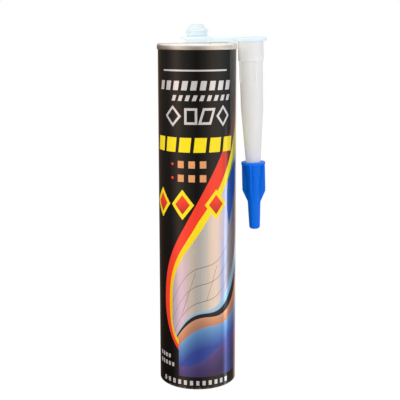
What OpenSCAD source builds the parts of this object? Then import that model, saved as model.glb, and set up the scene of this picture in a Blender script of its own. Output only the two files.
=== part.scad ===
// A 300 ml caulk cartridge with its nozzle hung beside it, and the cap on the nozzle's tip.
// Sizes are in millimetres. The origin lies on the tube's axis at its open lower edge.
// +Z points up to the spout, and the nozzle hangs on the +X side.

/* [Tube] */
// Outside diameter of the tube, over its printed film
body_d = 49; // [47:0.5:52]
// Length of the tube's wall, from the open lower edge to the edge inside the seam
tube_len = 215.8; // [190:1:240]
// Wall of the composite tube
tube_wall = 0.8; // [0.6:0.05:1.2]
// Thickness of the printed outer ply
film_t = 0.3; // [0.2:0.05:0.4]

/* [Metal end] */
// Sheet thickness of the metal end
sheet_t = 0.35; // [0.25:0.05:0.45]
// Height of the seam's outer skirt
seam_h = 4.2; // [3.5:0.1:6]
// How far the seam stands out from the film
seam_proud = 0.6; // [0.55:0.05:0.9]
// Gap between the tube's upper edge and the fold of the seam
edge_gap = 0.35; // [0.2:0.05:0.6]
// Outer bend of the seam, as far as the seam's width allows
seam_bend = 1.55; // [0.9:0.05:1.8]
// Inner bends of the pressed end
press_bend = 0.5; // [0.4:0.05:0.6]
// Depth of the countersunk ring below the seam's top
sink_depth = 3.5; // [2.5:0.1:5]
// Width of the countersunk ring
sink_w = 1.6; // [1.4:0.1:2.5]
// Depth of the flat panel below the seam's top
panel_depth = 1.5; // [1:0.1:2]
// Height of the hub round the spout above the seam's top
hub_rise = 0.4; // [0:0.1:1]
// Radius of the hub's flat top
hub_r = 8; // [7.6:0.1:9]
// Width of the hub's slope
hub_slope = 1.5; // [1:0.1:2.5]

/* [Spout] */
// Radius of the plain neck that the hanger ring turns on
neck_r = 6.3; // [6:0.05:6.5]
// Height of the plain neck above the hub
neck_h = 4; // [3.9:0.1:5]
// Root radius of the spout's thread
thread_root_r = 6.05; // [5.8:0.05:6.1]
// Crest radius of the spout's thread
thread_crest_r = 7.2; // [6.9:0.05:7.3]
// Pitch of the thread
thread_pitch = 2.1; // [1.8:0.1:2.4]
// Turns of the thread
thread_turns = 1.75; // [1.25:0.25:2]
// Height of the threaded stretch
thread_h = 4.2; // [4:0.1:5]
// Height of the closed tip above the thread
tip_h = 3.2; // [2.5:0.1:5]
// Radius of the tip's flat top
tip_r = 3.2; // [2.5:0.1:3.6]
// Wall of the spout
spout_wall = 1.5; // [1.2:0.1:2]
// Skin that closes the tip
tip_skin = 1.2; // [0.8:0.1:2]
// Radius of the flange under the metal end
spout_flange_r = 11.5; // [10.5:0.1:13]
// Thickness of that flange
spout_flange_t = 1.4; // [1:0.1:1.5]

/* [Nozzle hanger] */
// Outside radius of the ring round the neck
ring_r = 9.95; // [9:0.05:11]
// Thickness of the ring's flat edge
ring_edge = 0.9; // [0.8:0.1:2]
// Height of the conical boss under the ring
ring_boss_h = 2.4; // [1.2:0.1:2.6]
// Radius of the boss at its lower end
ring_boss_r = 7.1; // [6.9:0.05:7.6]
// Gap between the boss and the hub below it
ring_lift = 0.25; // [0.2:0.05:0.5]
// Gap between the seam and the nozzle's collar, at the flange's top
nozzle_gap = 0.14; // [0.1:0.02:3]
// Width of the strap between ring and flange
strap_w = 9; // [6:0.5:12]
// Thickness of the strap
strap_t = 1.5; // [1.2:0.1:1.8]
// Depth of the rib under the strap
strap_rib_h = 1.8; // [0.6:0.1:1.8]
// Width of the rib under the strap
strap_rib_w = 7.4; // [1.5:0.1:8.4]
// Lean of the nozzle, its tip away from the tube, in degrees
hang_tilt = 1.65; // [0.5:0.05:4]

/* [Nozzle] */
// Length of the nozzle from the flange's top to the tip
nozzle_len = 117; // [105:1:130]
// Radius of the flange
flange_r = 10.2; // [9.6:0.1:10.4]
// Thickness of the flange
flange_t = 2.9; // [2.5:0.1:2.9]
// Radius of the collar round the socket
collar_r = 8; // [7.8:0.05:8.2]
// Length of the collar, flange included
collar_len = 15; // [14:0.5:18]
// Radius of the shank at the collar
shank_r = 7.28; // [7.1:0.02:7.4]
// Radius of the shank where the cone starts
cone_top_r = 7; // [6.8:0.05:7.1]
// Distance from the flange's top to the cone
cone_start = 44; // [40:1:50]
// Radius of the tip
nozzle_tip_r = 2.15; // [1.9:0.05:2.6]
// Wall of the shank
nozzle_wall = 1.1; // [0.8:0.05:1.3]
// Radius of the open bore at the tip
tip_bore_r = 1.25; // [0.8:0.05:1.4]
// Clearance of the socket round the spout's crest
socket_play = 0.15; // [0.1:0.05:0.2]
// Depth of the socket
socket_depth = 12; // [10:0.5:13]
// Number of ribs on the shank
rib_count = 4; // [3:1:6]
// Length of the ribs
rib_len = 13.7; // [8:0.5:18]
// Radius at the ribs' crests
rib_r = 7.95; // [7.6:0.05:8]
// Width of a rib
rib_w = 0.8; // [0.6:0.1:1.4]
// Turn of the ribs round the nozzle, in degrees
rib_turn = 19; // [0:1:44]

/* [Cap] */
// Distance from the flange's top to the cap's top
cap_start = 79.2; // [70:0.5:85]
// Radius of the disc at the cap's top
cap_disc_r = 7.6; // [6.8:0.1:8.5]
// Thickness of the disc
cap_disc_t = 0.9; // [0.7:0.1:1.5]
// Wall of the cap round the nozzle, at its mouth
cap_wall = 0.62; // [0.55:0.01:0.9]
// Length of the wide mouth
cap_mouth_len = 8.6; // [6:0.2:12]
// Radius below the mouth's step
cap_body_r = 4.95; // [4.9:0.05:5.1]
// Radius where the stem begins
cap_stem_r = 4.1; // [4:0.05:4.4]
// Length from the cap's top to the stem
cap_stem_start = 25; // [23:0.5:28]
// Radius at the stem's lower end
cap_end_r = 3.36; // [3.1:0.02:3.6]
// Solid plug below the nozzle's tip
cap_plug = 4.9; // [3:0.1:7]
// Rounding of the stem's lower end
cap_round = 2; // [1:0.1:2.8]
// Clearance between the cap and the nozzle's cone
cap_play = 0.08; // [0.05:0.01:0.12]
// Number of fins
fin_count = 4; // [3:1:6]
// Radius of the fins
fin_r = 7.5; // [6.5:0.1:8]
// Thickness of a fin
fin_t = 1.1; // [0.8:0.1:1.6]
// Length of the fins' straight edge
fin_straight = 17.9; // [12:0.5:20]
// Turn of the fins round the cap, in degrees
fin_turn = -18; // [-45:1:45]

/* [Piston] */
// Depth of the tube's rear recess, up to the piston
recess_depth = 12; // [8:1:20]
// Height of the piston
piston_h = 22; // [18:1:28]
// Clearance between the piston's lips and the tube
piston_play = 0.06; // [0.03:0.01:0.1]
// Height of each sealing lip
lip_h = 2.5; // [1.5:0.1:4]
// How far the wall stands back between the lips
lip_relief = 0.5; // [0.3:0.05:0.8]
// Wall of the piston's skirt
skirt_t = 1.2; // [1:0.1:1.6]
// Thickness of the piston's front web
web_t = 1.6; // [1.2:0.1:2.5]
// Depth of the stiffening ribs behind the web
piston_rib_h = 5; // [3:0.5:8]
// Number of stiffening ribs
piston_rib_count = 8; // [6:1:12]
// Thickness of a stiffening rib
piston_rib_t = 1.2; // [0.8:0.1:2]
// Radius of the boss that the ribs meet at
piston_boss_r = 5; // [3:0.5:8]
// Width of the ledge that a gun's plate stops at
plate_ledge = 0.6; // [0.4:0.1:1]

/* [Filling] */
// Gap between the sealant and the piston, in front of it
fill_gap = 0.3; // [0.2:0.05:0.5]
// Gap between the sealant and the walls round it
fill_play = 0.1; // [0.05:0.05:0.3]

/* [Print] */
// Height of the bare band at the label's foot, in percent of the film's height
foot_band = 3.76; // [2:0.1:6]
// Turn from the front's middle to the picture panel's left edge, in degrees
panel_left = 29.2; // [18:0.5:38]
// Height at which the stripes leave their curve and run straight, in percent
stripe_knee = 50.78; // [45:0.5:56]
// Lean of the straight stripes, in degrees sideways per percent up
stripe_lean = 2.69; // [2:0.05:3.5]
// Height of the row of heavy blocks, in percent
block_row = 73.11; // [71.5:0.25:75]
// Height of the row of signs, in percent
sign_row = 81.33; // [79:0.25:83]

/* [Hidden] */

$fn = 96;
// Overlap that makes cuts run clean through a face
cut = 1;
bend_steps = 5;
curve_steps = 14;

film_r = body_d / 2;
tube_r = film_r - film_t;
bore_r = tube_r - tube_wall;

// Running clearance of the pressed end inside the tube, and of the neck in its holes
press_play = 0.05;
neck_play = 0.08;

seam_r = film_r + seam_proud;
seam_top = tube_len + edge_gap + sheet_t;
skirt_z = seam_top - seam_h;
chuck_r = bore_r - press_play - sheet_t;
// Least flat between the bends of the seam
seam_flat = 0.05;
seam_fold = min(seam_bend, seam_r - chuck_r - press_bend - seam_flat);
sink_z = seam_top - sink_depth;
sink_in_r = chuck_r - sink_w;
panel_z = seam_top - panel_depth;
panel_r = sink_in_r - press_bend;
hub_z = seam_top + hub_rise;
hub_base_r = hub_r + hub_slope;
hub_hole_r = neck_r + neck_play;
hem_h = 0.8;
hem_play = 0.05;

thread_z = hub_z + neck_h;
tip_z = thread_z + thread_h;
spout_top = tip_z + tip_h;
spout_bore_r = thread_root_r - spout_wall;
spout_flange_z = panel_z - sheet_t - press_play - spout_flange_t;
thread_width = 1.5;
thread_crest_w = 0.6;
thread_sink = 0.3;
thread_steps = 30;
thread_fade = 0.12;

nozzle_reach = seam_r + nozzle_gap + collar_r;
ring_bore_r = neck_r + neck_play;
ring_z = hub_z + ring_lift;
ring_top = ring_z + ring_boss_h + ring_edge;
flange_lift = 0.55;
flange_top = seam_top + flange_t + flange_lift + (flange_r - cut) * tan(hang_tilt);
socket_r = thread_crest_r + socket_play;
bore_tip_z = -nozzle_len;
lead_in = 0.6;

piston_r = bore_r - piston_play;
piston_back = recess_depth;
piston_front = recess_depth + piston_h;
cup_r = piston_r - lip_relief - skirt_t;
piston_chamfer = 1.2;

// Plain shapes and paths

function unit(v) = v / norm(v);
function left_of(v) = [-v.y, v.x];
function reversed(list) = [for (i = [len(list) - 1:-1:0]) list[i]];
function arc(centre, r, from, to, steps = bend_steps) =
    [for (i = [0:steps]) let (a = from + (to - from) * i / steps) centre + r * [cos(a), sin(a)]];

// Point of a path moved square to its neighbours by t
function mitred(a, b, c, t) =
    let (n = left_of(unit(b - a)), m = unit(n + left_of(unit(c - b)))) b + m * t / (m * n);
function beside(path, t) =
    let (last = len(path) - 1)
    [for (i = [0:last])
        i == 0 ? path[0] + left_of(unit(path[1] - path[0])) * t
        : i == last ? path[last] + left_of(unit(path[last] - path[last - 1])) * t
        : mitred(path[i - 1], path[i], path[i + 1], t)];

module revolved(points) { rotate_extrude() polygon(points); }
module ring(r_out, r_in, z0, z1) {
    revolved([[r_in, z0], [r_out, z0], [r_out, z1], [r_in, z1]]);
}

// Tube

module tube_body() {
    color("#b9a58c") ring(tube_r, bore_r, 0, tube_len);
}

// Printed film: one sleeve, tiled by the colours of its print.
// The fields are laid out as artwork, a point of it as [degrees round from the front's middle,
// percent of the film's height]. It ends a quarter turn to the right, where x is 90.
// wrapped() puts a point of the artwork in the film's front view.

film_top = skirt_z + hem_h / 2;

function wrapped(p) = [film_r * sin(min(p.x, 90)), film_top * p.y / 100];
function wrapped_all(points) = [for (p = points) wrapped(p)];
function bezier(p0, p1, p2, p3, t) =
    pow(1 - t, 3) * p0 + 3 * t * pow(1 - t, 2) * p1 + 3 * t * t * (1 - t) * p2 + pow(t, 3) * p3;
function curve(p0, p1, p2, p3) = [for (i = [1:curve_steps]) bezier(p0, p1, p2, p3, i / curve_steps)];

// Edge of a stripe: a hook up from its foot, the belly, the knee, then a run to the artwork's edge,
// which bows to the right over its first three quarters
hook_pull = [-14, 2.82];
belly_pull = [5.64, 11.28];
knee_pull = 8;
function stripe_edge(foot, belly, knee_x, bow) =
    let (knee = [knee_x, stripe_knee],
         run = 90 - knee.x,
         hook = curve(foot, foot + hook_pull, belly - [0, belly_pull[0]], belly),
         rise = curve(belly, belly + [0, belly_pull[1]], knee - knee_pull * [stripe_lean, 1], knee))
    concat([foot], hook, rise,
           [for (i = [1:curve_steps]) let (s = i / curve_steps)
               knee + [run * s + bow * max(0, sin(240 * s)), run * s / stripe_lean]]);

foot_x = -panel_left;
red_edge = stripe_edge([foot_x, 11.75], [-55.2, 26.33], -15.2, 0);
yellow_edge = stripe_edge([foot_x, 13.4], [-45.6, 26.8], 1.2, 6.2);
inner_edge = stripe_edge([foot_x, 15.04], [-40, 27.27], 12.9, 4.8);

// Crest of a wave in the picture panel, from the panel's left edge to the artwork's edge
function crest(low, rise, swell, phase) =
    [for (i = [0:curve_steps]) let (s = i / curve_steps)
        [foot_x + (90 - foot_x) * s, low + rise * s + swell * sin(360 * s + phase)]];

wave_foot = crest(foot_band, 0, 0, 0);
wave_violet = crest(7.52, 8.46, 1.65, 200);
wave_blue = crest(12.22, 15.98, 2.35, 20);
wave_orange = crest(14.57, 18.81, 3.06, 35);
wave_dark = crest(14.4, 24.5, 3.7, 48);
wave_cyan = crest(14.1, 30.09, 4.23, 60);

module band(low, high) { polygon(wrapped_all(concat(low, reversed(high)))); }

// A four-sided mark on the film, leaning by slant over its height
mark_steps = 4;
module mark(x, z, w, h, slant = 0) {
    low = [for (i = [0:mark_steps]) [x - (w + slant) / 2 + w * i / mark_steps, z - h / 2]];
    high = [for (p = low) p + [slant, h]];
    band(low, high);
}
module mark_row(from, to, count, z, w, h, slant = 0) {
    for (i = [0:count - 1]) mark(from + (to - from) * i / (count - 1), z, w, h, slant);
}
module diamond(x, z, w, h) {
    polygon(wrapped_all([[x - w / 2, z], [x, z - h / 2], [x + w / 2, z], [x, z + h / 2]]));
}

// The badges lie over the stripes, and every other mark stops at the stripes
badge_xs = [-60.8, -22.2, 28];
badge_row = 55.71;
badge_size = [35.1, 8.93];
badge_core = [22.9, 5.74];
point_rows = [67.47, 63.47];

module badges(size) { for (x = badge_xs) diamond(x, badge_row, size.x, size.y); }
module under_badges() { difference() { children(); badges(badge_size); } }
module beside_stripes() { difference() { children(); band(red_edge, inner_edge); } }

// The green stripe spreads from a point on the inner edge, and the blue one is a lens under it
green_share = 0.36;
green_rise = 12.6;
green_foot = inner_edge[2 * curve_steps + round(green_share * curve_steps)];
green_low = [for (i = [0:curve_steps]) let (s = i / curve_steps)
    green_foot + [(90 - green_foot.x) * s, green_rise * s]];
green_high = [for (p = inner_edge) if (p.y > green_foot.y) p];
blue_foot = [53.2, 49.2];
blue_near = [50.5, 62.6];
blue_far = [82, 72.5];
blue_lens = concat([blue_foot], curve(blue_foot, [62, 54], [73, 59], blue_far),
                   reversed(curve(blue_foot, [48, 53], [47, 58], blue_near)));

module stripe_green() { band(green_low, green_high); }
module stripe_blue() {
    difference() {
        polygon(wrapped_all(blue_lens));
        stripe_green();
    }
}

module field_red() {
    under_badges() band(red_edge, yellow_edge);
    badges(badge_core);
    beside_stripes() for (z = point_rows) diamond(-38.6, z, 5.1, 1.03);
}
module field_yellow() {
    under_badges() band(yellow_edge, inner_edge);
    difference() { badges(badge_size); badges(badge_core); }
    beside_stripes() mark_row(-63.1, 26.7, 5, block_row, 17.3, 4.23, 2.3);
}
module field_green() { under_badges() stripe_green(); }
module field_blue() {
    under_badges() stripe_blue();
    band(wave_violet, wave_blue);
}
module field_cyan() { band(wave_dark, wave_cyan); }
module field_violet() { band(wave_foot, wave_violet); }
module field_orange() {
    band(wave_blue, wave_orange);
    beside_stripes() for (z = point_rows) mark_row(-24.6, 8.2, 3, z, 9.4, 2.07);
}
module silver_panel() {
    difference() {
        band(inner_edge, wave_cyan);
        stripe_green();
        stripe_blue();
        badges(badge_size);
    }
}
module silver_marks() {
    mark(-4.7, 94.26, 102.9, 0.47);
    mark_row(-58.5, 49.1, 9, 90.03, 8.4, 2.63, 2.3);
    mark_row(-35.1, 49.1, 9, 86.51, 5.6, 1.6, 2.8);
    difference() { diamond(-37.4, sign_row, 28.1, 6.11); diamond(-37.4, sign_row, 18.7, 4.23); }
    difference() { mark(-9.4, sign_row, 18.7, 4.7); mark(-9.4, sign_row, 11.7, 3.29); }
    difference() { mark(14, sign_row, 18.7, 4.7, 7); mark(14, sign_row, 11.7, 3.29, 4.9); }
    difference() { diamond(39.8, sign_row, 23.4, 6.11); diamond(39.8, sign_row, 15.4, 4.23); }
    mark_row(-56.1, 46.8, 12, foot_band / 2, 4.7, 1.41);
    mark_row(-67.8, -46.8, 4, 9.17, 4.2, 1.22);
    mark_row(-67.8, -39.8, 5, 6.82, 4.2, 1.22);
}
module field_silver() {
    silver_panel();
    beside_stripes() silver_marks();
}
module all_fields() {
    field_red();
    field_yellow();
    field_green();
    field_blue();
    field_cyan();
    field_violet();
    field_orange();
    field_silver();
}

module film_sleeve() { ring(film_r, tube_r, 0, film_top); }
module printed(tint) {
    color(tint) intersection() {
        film_sleeve();
        rotate([90, 0, 0]) linear_extrude(height = film_r + cut) children();
    }
}
module label_film() {
    color("#1d1a18") difference() {
        film_sleeve();
        rotate([90, 0, 0]) linear_extrude(height = film_r + cut) all_fields();
    }
}

// Metal end: one sheet, folded over the tube's edge and pressed down to a ring, a panel and a hub

end_path = concat(
    [[seam_r, skirt_z]],
    arc([seam_r - seam_fold, seam_top - seam_fold], seam_fold, 0, 90),
    arc([chuck_r + press_bend, seam_top - press_bend], press_bend, 90, 180),
    arc([chuck_r - press_bend, sink_z + press_bend], press_bend, 0, -90),
    arc([sink_in_r + press_bend, sink_z + press_bend], press_bend, -90, -180),
    [[sink_in_r, panel_z - press_bend]],
    [[panel_r, panel_z], [hub_base_r, panel_z], [hub_r, hub_z], [hub_hole_r, hub_z]]);

module top_end() {
    color("#d8dadb") union() {
        revolved(concat(end_path, reversed(beside(end_path, sheet_t))));
        // hem that grips the film at the skirt's lower edge
        ring(seam_r - sheet_t / 2, film_r + hem_play, skirt_z, skirt_z + hem_h);
    }
}

// Spout: a flange under the metal end, the neck through its hub, a thread and a closed tip

function thread_fade_at(s) = min(1, s / thread_fade, (1 - s) / thread_fade);
function thread_ring(s) =
    let (a = -180 + 360 * thread_turns * s,
         rise = thread_pitch * thread_turns * s,
         k = thread_fade_at(s),
         r0 = thread_root_r - thread_sink,
         r1 = thread_root_r - thread_sink / 2 + (thread_crest_r - thread_root_r + thread_sink / 2) * k)
    [for (q = [[r0, -thread_width / 2], [r1, -thread_crest_w / 2], [r1, thread_crest_w / 2],
               [r0, thread_width / 2]])
        [q.x * cos(a), q.x * sin(a), rise + q.y]];

module spout_thread() {
    rings = ceil(thread_steps * thread_turns);
    points = [for (i = [0:rings]) each thread_ring(i / rings)];
    sides = [for (i = [0:rings - 1], j = [0:3]) let (k = (j + 1) % 4)
        each [[4 * i + j, 4 * i + k, 4 * i + 4 + k], [4 * i + j, 4 * i + 4 + k, 4 * i + 4 + j]]];
    ends = [[0, 3, 2], [0, 2, 1], [4 * rings, 4 * rings + 1, 4 * rings + 2],
            [4 * rings, 4 * rings + 2, 4 * rings + 3]];
    polyhedron(points = points, faces = concat(sides, ends));
}

module spout() {
    under_hub = hub_z - sheet_t - press_play;
    color("#dfeef2") union() {
        revolved([
            [spout_bore_r, spout_flange_z], [spout_flange_r, spout_flange_z],
            [spout_flange_r, spout_flange_z + spout_flange_t],
            [hub_base_r - sheet_t, spout_flange_z + spout_flange_t],
            [hub_r - sheet_t, under_hub], [neck_r, under_hub],
            [neck_r, thread_z], [thread_root_r, thread_z + 0.3],
            [thread_root_r, tip_z], [tip_r, spout_top],
            [0, spout_top], [0, spout_top - tip_skin],
            [tip_r - tip_skin / 2, spout_top - tip_skin], [spout_bore_r, tip_z]]);
        translate([0, 0, thread_z + thread_width / 2]) spout_thread();
    }
}

// Sealant, from the piston up into the spout

module sealant_fill() {
    fill_r = bore_r - fill_play;
    under_sink = sink_z - sheet_t - fill_play;
    under_panel = panel_z - sheet_t - fill_play;
    color("#e9e6df") revolved([
        [0, piston_front + fill_gap], [fill_r, piston_front + fill_gap],
        [fill_r, under_sink], [panel_r - sheet_t - press_bend, under_sink],
        [panel_r - sheet_t - press_bend, under_panel], [spout_flange_r + fill_play, under_panel],
        [spout_flange_r + fill_play, spout_flange_z - fill_play],
        [spout_bore_r - fill_play, spout_flange_z - fill_play],
        [spout_bore_r - fill_play, tip_z - fill_play],
        [tip_r - tip_skin / 2 - fill_play, spout_top - tip_skin - fill_play],
        [0, spout_top - tip_skin - fill_play]]);
}

// Piston: a cup with a sealing lip at each end, a front web and ribs behind it

module piston() {
    wall_r = piston_r - lip_relief;
    lip_ramp = lip_h + lip_relief;
    web_z = piston_front - web_t;
    color("#eceff0") union() {
        revolved([
            [cup_r, piston_back], [piston_r, piston_back], [piston_r, piston_back + lip_h],
            [wall_r, piston_back + lip_ramp], [wall_r, piston_front - piston_chamfer - lip_ramp],
            [piston_r, piston_front - piston_chamfer - lip_h], [piston_r, piston_front - piston_chamfer],
            [piston_r - piston_chamfer, piston_front], [0, piston_front], [0, web_z],
            [cup_r - plate_ledge, web_z], [cup_r - plate_ledge, web_z - piston_rib_h],
            [cup_r, web_z - piston_rib_h]]);
        ring(piston_boss_r, piston_boss_r - piston_rib_t, web_z - piston_rib_h, web_z);
        for (i = [0:piston_rib_count - 1]) rotate([0, 0, i * 360 / piston_rib_count])
            translate([piston_boss_r - piston_rib_t / 2, -piston_rib_t / 2, web_z - piston_rib_h])
                cube([cup_r + skirt_t / 2 - piston_boss_r + piston_rib_t / 2, piston_rib_t, piston_rib_h]);
    }
}

// Nozzle: one moulding of the ring round the neck, the strap, and the hollow cone with its collar.
// The cone and the cap are drawn on their own axis, with the flange's top at zero.

module on_nozzle_axis() {
    translate([nozzle_reach, 0, flange_top]) rotate([0, -hang_tilt, 0]) children();
}

function cone_r(depth) =
    cone_top_r + (nozzle_tip_r - cone_top_r) * (depth - cone_start) / (nozzle_len - cone_start);

flange_round = flange_t / 2 - 0.1;

module nozzle_outside() {
    revolved(concat(
        [[0, bore_tip_z], [nozzle_tip_r, bore_tip_z], [cone_top_r, -cone_start],
         [shank_r, -collar_len], [collar_r, -collar_len + lead_in]],
        [[collar_r, -flange_t]],
        arc([flange_r - flange_round, -flange_t + flange_round], flange_round, -90, 0),
        arc([flange_r - flange_round, -flange_round], flange_round, 0, 90),
        [[0, 0]]));
    for (i = [0:rib_count - 1]) rotate([0, 0, -90 + rib_turn + i * 360 / rib_count])
        translate([shank_r - nozzle_wall / 2, -rib_w / 2, -collar_len - rib_len])
            cube([rib_r - shank_r + nozzle_wall / 2, rib_w, rib_len + lead_in]);
}

module nozzle_inside() {
    shoulder_z = -socket_depth - socket_r + shank_r - nozzle_wall;
    revolved([
        [0, bore_tip_z - cut], [tip_bore_r, bore_tip_z - cut], [tip_bore_r, bore_tip_z],
        [cone_top_r - nozzle_wall, -cone_start], [shank_r - nozzle_wall, shoulder_z],
        [socket_r, -socket_depth], [socket_r, -lead_in], [socket_r + lead_in, 0],
        [socket_r + lead_in, cut], [0, cut]]);
}

module hanger_ring() {
    revolved([
        [ring_bore_r, ring_z], [ring_boss_r, ring_z], [ring_r, ring_z + ring_boss_h],
        [ring_r, ring_top], [ring_bore_r, ring_top]]);
}

module strap() {
    from = (ring_bore_r + ring_r) / 2;
    length = nozzle_reach - (socket_r + collar_r) / 2 - from;
    translate([from, -strap_w / 2, ring_top - strap_t]) cube([length, strap_w, strap_t]);
    translate([from, -strap_rib_w / 2, ring_top - strap_t - strap_rib_h])
        cube([length, strap_rib_w, strap_t + strap_rib_h]);
}

module nozzle() {
    color("#e3e1df") difference() {
        union() {
            hanger_ring();
            strap();
            on_nozzle_axis() nozzle_outside();
        }
        on_nozzle_axis() nozzle_inside();
    }
}

// Cap: a socket for the nozzle's tip under a round disc, a stem that plugs it, and fins to grip

module cap_outside() {
    mouth_r = cone_r(cap_start) + cap_play + cap_wall;
    end_z = -nozzle_len - cap_plug;
    mouth_end = -cap_start - cap_mouth_len;
    revolved(concat(
        [[0, end_z]],
        arc([cap_end_r - cap_round, end_z + cap_round], cap_round, -90, 0),
        [[cap_stem_r, -cap_start - cap_stem_start],
         [cap_body_r, mouth_end], [mouth_r, mouth_end],
         [mouth_r, -cap_start - cap_disc_t], [cap_disc_r, -cap_start - cap_disc_t],
         [cap_disc_r, -cap_start], [0, -cap_start]]));
}

module cap_fin() {
    rotate([90, 0, 0]) translate([0, 0, -fin_t / 2]) linear_extrude(height = fin_t)
        polygon([[0, -cap_start - cap_disc_t / 2], [fin_r, -cap_start - cap_disc_t / 2],
                 [fin_r, -cap_start - fin_straight], [cap_stem_r - 0.2, -cap_start - cap_stem_start],
                 [0, -cap_start - cap_stem_start]]);
}

module nozzle_cap() {
    tip_gap = 0.4;
    color("#0f6fe8") on_nozzle_axis() difference() {
        union() {
            cap_outside();
            for (i = [0:fin_count - 1]) rotate([0, 0, -90 + fin_turn + i * 360 / fin_count]) cap_fin();
        }
        revolved([
            [0, -nozzle_len - tip_gap], [cone_r(nozzle_len) + cap_play, -nozzle_len - tip_gap],
            [cone_r(nozzle_len) + cap_play, -nozzle_len], [cone_r(cap_start) + cap_play, -cap_start],
            [cone_r(cap_start) + cap_play, -cap_start + cut], [0, -cap_start + cut]]);
    }
}

tube_body();
label_film();
printed("#f0402c") field_red();  // ink_red
printed("#e8dc22") field_yellow();  // ink_yellow
printed("#6ea02c") field_green();  // ink_green
printed("#2c50b4") field_blue();  // ink_blue
printed("#7fb4dc") field_cyan();  // ink_cyan
printed("#54509c") field_violet();  // ink_violet
printed("#dc8c50") field_orange();  // ink_orange
printed("#c8c4ca") field_silver();  // ink_silver
top_end();
spout();
sealant_fill();
piston();
nozzle();
nozzle_cap();
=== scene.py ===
"""Studio picture of a caulk cartridge with its nozzle hung beside it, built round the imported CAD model.

Outlines are in millimetres, in the frame of the CAD model: the origin lies on the tube's axis at its open
lower edge, +Z points up to the spout, and the label's middle faces -Y.
"""

from __future__ import annotations

import logging
import math
from collections.abc import Callable, Iterable, Mapping, Sequence
from dataclasses import dataclass
from enum import Enum
from functools import reduce
from operator import or_

import bmesh
import bpy
from mathutils import Matrix, Vector

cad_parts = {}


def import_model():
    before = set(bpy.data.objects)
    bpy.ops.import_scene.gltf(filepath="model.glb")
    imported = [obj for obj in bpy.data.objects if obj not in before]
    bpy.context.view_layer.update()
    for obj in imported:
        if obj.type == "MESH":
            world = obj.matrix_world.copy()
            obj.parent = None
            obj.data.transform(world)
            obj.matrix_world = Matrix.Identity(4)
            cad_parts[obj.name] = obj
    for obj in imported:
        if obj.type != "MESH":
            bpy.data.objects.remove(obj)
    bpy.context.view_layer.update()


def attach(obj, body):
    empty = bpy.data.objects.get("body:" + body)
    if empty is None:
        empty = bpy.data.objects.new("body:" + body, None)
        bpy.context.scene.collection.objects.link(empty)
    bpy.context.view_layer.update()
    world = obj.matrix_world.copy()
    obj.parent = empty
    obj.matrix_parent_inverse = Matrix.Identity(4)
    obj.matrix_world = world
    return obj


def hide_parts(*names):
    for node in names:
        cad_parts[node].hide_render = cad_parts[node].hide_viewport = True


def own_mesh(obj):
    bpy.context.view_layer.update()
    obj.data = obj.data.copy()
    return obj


LOG = logging.getLogger("cartridge")
MM = 0.001
FULL_TURN = 2 * math.pi
FILM_RADIUS = 24.5

Point = tuple[float, float]
Corner = tuple[float, float, float]
Colour = tuple[float, float, float]
Stops = Sequence[tuple[float, Colour]]
Socket = bpy.types.NodeSocket
Object = bpy.types.Object
Material = bpy.types.Material

DARK: Colour = (0.0, 0.0, 0.0)
BRIGHT: Colour = (1.0, 1.0, 1.0)


def srgb(red: float, green: float, blue: float) -> Colour:
    """Linear colour of display values from 0 to 255."""
    shares = (red / 255, green / 255, blue / 255)
    return tuple(((v + 0.055) / 1.055) ** 2.4 if v > 0.0404 else v / 12.92 for v in shares)


# Node trees


def by_math(operation: str, reflected: bool = False) -> Callable[..., Wire]:
    """Make a method of Wire that adds one Math node.

    Args:
        operation: what the node does.
        reflected: whether the wire comes after the other number.

    Returns:
        The method.
    """

    def method(wire: Wire, *others: Number) -> Wire:
        """Add the node."""
        return wire.graph.math(operation, *((*others, wire) if reflected else (wire, *others)))

    return method


class Wire:
    """A number on its way through a node tree. Operators and methods on it add Math nodes.

    A mask is 1 where it holds and 0 elsewhere. A product of masks holds where all do, and | where any does.
    """

    def __init__(self, graph: Graph, socket: Socket) -> None:
        """Keep the tree and the socket that the number comes from."""
        self.graph = graph
        self.socket = socket

    __add__ = by_math("ADD")
    __radd__ = by_math("ADD", reflected=True)
    __sub__ = by_math("SUBTRACT")
    __rsub__ = by_math("SUBTRACT", reflected=True)
    __mul__ = by_math("MULTIPLY")
    __rmul__ = by_math("MULTIPLY", reflected=True)
    __truediv__ = by_math("DIVIDE")
    __pow__ = by_math("POWER")
    __mod__ = by_math("FLOORED_MODULO")
    __abs__ = by_math("ABSOLUTE")
    __gt__ = by_math("GREATER_THAN")
    __lt__ = by_math("LESS_THAN")
    __or__ = by_math("MAXIMUM")
    at_least = by_math("MAXIMUM")
    at_most = by_math("MINIMUM")
    sine = by_math("SINE")
    cosine = by_math("COSINE")
    rounded_down = by_math("FLOOR")
    # Distance to the nearest whole multiple of twice the given number
    fold = by_math("PINGPONG")

    def clamped(self) -> Wire:
        """Held between 0 and 1."""
        return self.graph.math("ADD", self, 0.0, clamp=True)

    def between(self, start: float, end: float) -> Wire:
        """Share that runs from 0 at start to 1 at end, whichever is the greater, and is held beyond them."""
        return ((self - start) / (end - start)).clamped()


Number = float | int | Wire
Value = object
Layer = tuple[Wire, Value, float]


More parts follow.
